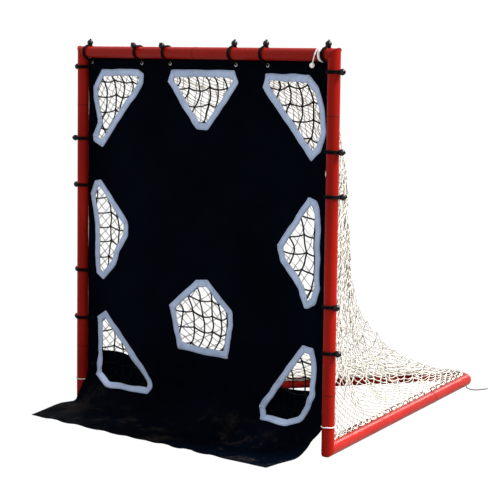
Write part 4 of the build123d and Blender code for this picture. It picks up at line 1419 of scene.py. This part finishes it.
def bungee(name, row, centre, first, second, axis, eye, ball_angle, seed):
    """A ball bungee round a tube: two strands, the loop at the ball's neck, and the ball.

    The first one of a row stands for the CAD nodes of the whole row.
    """

    def place(flat, shift):
        return centre + np.outer(flat[:, 0], first) + np.outer(flat[:, 1], second) + np.outer(shift, axis)

    random = np.random.default_rng(seed)
    wrap_r = TUBE_R + STRAND_GAP + STRAND_R
    line = belt(wrap_r, BAND_EYE_R, eye)
    angle = np.arctan2(line[:, 1], line[:, 0])
    turn = radians(ball_angle)
    off_ball = np.abs((angle - turn + pi) % tau - pi)
    eye_near = np.exp(-((line - np.array(eye)) ** 2).sum(1) / 0.016**2)
    neck = np.exp(-((off_ball / 0.38) ** 2))
    thick = STRAND_R - (STRAND_R - STRAND_EYE_R) * eye_near
    lean = random.uniform(-0.0015, 0.0015)
    shape = Shape()
    outward = unit(line)
    for side in (-1, 1):
        spread = side * (1.08 * thick + 0.0006 * neck) + lean * np.sin(angle)
        lifted = line + outward * (0.0008 * neck[:, None])
        shape.cords([place(lifted, spread)], thick[None], 8, closed=True)
    out = np.array([cos(turn), sin(turn)])
    lateral = np.array([-sin(turn), cos(turn)])
    circle = np.arange(20) * tau / 20
    neck_r = TUBE_R + 2.4 * STRAND_R
    loop = out * neck_r + np.outer(np.cos(circle) * 0.0095, lateral)
    shape.cords([place(loop, np.sin(circle) * 0.0090)], STRAND_R, 8, closed=True)
    tip = out * (TUBE_R + BALL_SEAT + BALL_R)
    knot = place(np.array([tip]), np.array([0.0]))
    shape.balls(knot, 0.0050, 2, (1.2, 1.0, 0.8), seed=seed)
    cord_nodes = [f"bungee_cords_{row}"] if row else []
    shape.piece(f"bungee_cord_{name}", FINISHES["bungee_elastic"], "bungee_elastic", cord_nodes)
    ball = Shape()
    seat = out * (TUBE_R + BALL_SEAT)
    heart = place(np.array([seat]), np.array([0.0]))[0]
    ball_skin(ball, heart, first * out[0] + second * out[1])
    ball_nodes = [f"bungee_balls_{row}"] if row else []
    ball.piece(f"bungee_ball_{name}", FINISHES["bungee_ball"], "bungee_ball", ball_nodes)


def ball_skin(shape, centre, pole, radius=BALL_R):
    """A moulded ball: a parting line round it and a countersunk hole at its top."""
    pole = unit(np.asarray(pole, float))
    seed = np.array([0, 0, 1.0]) if abs(pole[2]) < 0.9 else np.array([1.0, 0, 0])
    east = unit(np.cross(pole, seed))
    north = np.cross(pole, east)
    latitude = np.radians([78, 72, 66, 54, 40, 26, 12, 3, 0, -3, -12, -26, -40, -54, -66, -72, -78])
    size = radius * np.array([1.0 if abs(a) > 0.01 else 1.022 for a in latitude])
    out, up = size * np.cos(latitude), size * np.sin(latitude)
    out = np.concatenate([[0.0016], [0.0022], out, [0.0022], [0.0016]])
    up = np.concatenate([[0.80 * radius], [0.90 * radius], up, [-0.90 * radius], [-0.80 * radius]])
    angle = np.arange(28) * tau / 28
    around = np.outer(np.cos(angle), east) + np.outer(np.sin(angle), north)
    points = centre + around[:, None] * out[None, :, None] + pole * up[None, :, None]
    shape.grid(points, closed_rows=True)
    first = shape.count - points.shape[0] * points.shape[1]
    rows, columns = points.shape[:2]
    shape.faces.append([first + i * columns for i in range(rows)])
    shape.faces.append([first + i * columns + columns - 1 for i in range(rows)][::-1])


def make_bungees():
    """The sixteen black ball bungees."""
    x, y, z = np.eye(3)
    eye = (TOP_EYELET_Z + BAND_EYE_R - BAR_Z, -SHEET_Y)
    for i, (place, tilt) in enumerate(zip(TOP_BUNGEE_X, TOP_BALL_TILTS)):
        row = None if i else "top"
        bungee(f"top_{i + 1}", row, np.array([place, 0, BAR_Z]), z, -y, x, eye, tilt, 150 + i)
    eye = (SIDE_EYELET_X + BAND_EYE_R - POST_X, SHEET_Y)
    for word, side in (("left", -1), ("right", 1)):
        for i, (height, turn) in enumerate(zip(SIDE_BUNGEE_Z[side], SIDE_BALL_ANGLES[side])):
            row = None if i else word
            centre = np.array([side * POST_X, 0, height])
            bungee(f"{word}_{i + 1}", row, centre, side * x, y, z, eye, turn, 160 + i + 5 * side)


def tie(shape, origin, axis, towards_rope):
    """One turn of white cord round a tube and the front rope beside it."""
    towards = unit(np.asarray(towards_rope, float))
    across = np.cross(axis, towards)
    reach = TIE_GAP + TIE_CORD_R
    flat = belt(TUBE_R + reach, FRONT_ROPE_R + reach, (FRONT_ROPE_REACH, 0))
    points = origin + np.outer(flat[:, 0], towards) + np.outer(flat[:, 1], across)
    points = points + np.outer(0.0006 * np.sin(np.arange(len(points)) * 0.4), axis)
    shape.cords([points], TIE_CORD_R, 8, closed=True)
    knot = origin + towards * (FRONT_ROPE_REACH + 0.006)
    shape.balls([knot], TIE_CORD_R * 1.7, 2, (1.2, 0.9, 1.0), seed=5)


def make_ties():
    """The white ties at the crossbar's ends and round the posts' feet."""
    x, _, z = np.eye(3)
    triple = Shape()
    for place in TOP_RIGHT_TIE_X:
        tie(triple, np.array([place, 0, BAR_Z]), x, (0, 1, -1))
    triple.piece("white_tie_triple", FINISHES["white_cord"], "white_cord", ["triple_tie"])
    single = Shape()
    tie(single, np.array([TOP_LEFT_TIE_X, 0, BAR_Z]), x, (0, 1, -1))
    for side in (-1, 1):
        tie(single, np.array([side * POST_X, 0, POST_TIE_Z[side]]), z, (-side, 1, 0))
    single.piece("white_ties_single", FINISHES["white_cord"], "white_cord", ["single_ties"])


# --- Loose cords -------------------------------------------------------------


def loose_cord(name, route, radius, material, node):
    """A free cord on one smooth curve with the route's points as its controls."""
    data = bpy.data.curves.new(name, "CURVE")
    data.dimensions = "3D"
    data.bevel_depth = radius
    data.bevel_resolution = 5
    data.use_fill_caps = True
    spline = data.splines.new("NURBS")
    spline.points.add(len(route) - 1)
    for point, (x, y, z) in zip(spline.points, route):
        point.co = (x, y + GOAL_LINE, z, 1)
    spline.order_u = 3
    spline.use_endpoint_u = True
    spline.resolution_u = 16
    data.materials.append(material)
    piece = bpy.data.objects.new(name, data)
    bpy.context.scene.collection.objects.link(piece)
    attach(piece, "frame")
    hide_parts(node)
    return piece


def make_loose_cords():
    """The white cord with its ball, and the dark tail by the apex."""
    end = np.array(WHITE_CORD_ROUTE[-1])
    heading = unit(end - np.array(WHITE_CORD_ROUTE[-2]))
    ball = Shape()
    ball_skin(ball, end + heading * WHITE_BALL_R, heading, WHITE_BALL_R)
    ball = ball.piece("white_ball_moulded", FINISHES["white_ball"], "white_ball", ["white_ball"])
    cord = loose_cord(
        "white_cord_loose", WHITE_CORD_ROUTE, WHITE_CORD_R, FINISHES["white_cord"], "white_cord"
    )
    tail = loose_cord(
        "tail_cord_loose", TAIL_CORD_ROUTE, TAIL_CORD_R, FINISHES["tail_cord"], "tail_cord"
    )


# --- The whole scene ---------------------------------------------------------


make_camera()
make_loose_cords()
make_floor()
make_light()
dress_cad_nodes()
seam_lines()
welds()
net_points = make_net()
lashings(net_points)
make_ropes()
gathered_edge()
sheet_pieces = []
for cut_out in CUT_OUTS:
    sheet_pieces += make_border(cut_out)
    make_pocket(cut_out)
sheet_pieces += [*make_eyelets(), make_seam()]
make_sheet()
make_bungees()
make_ties()
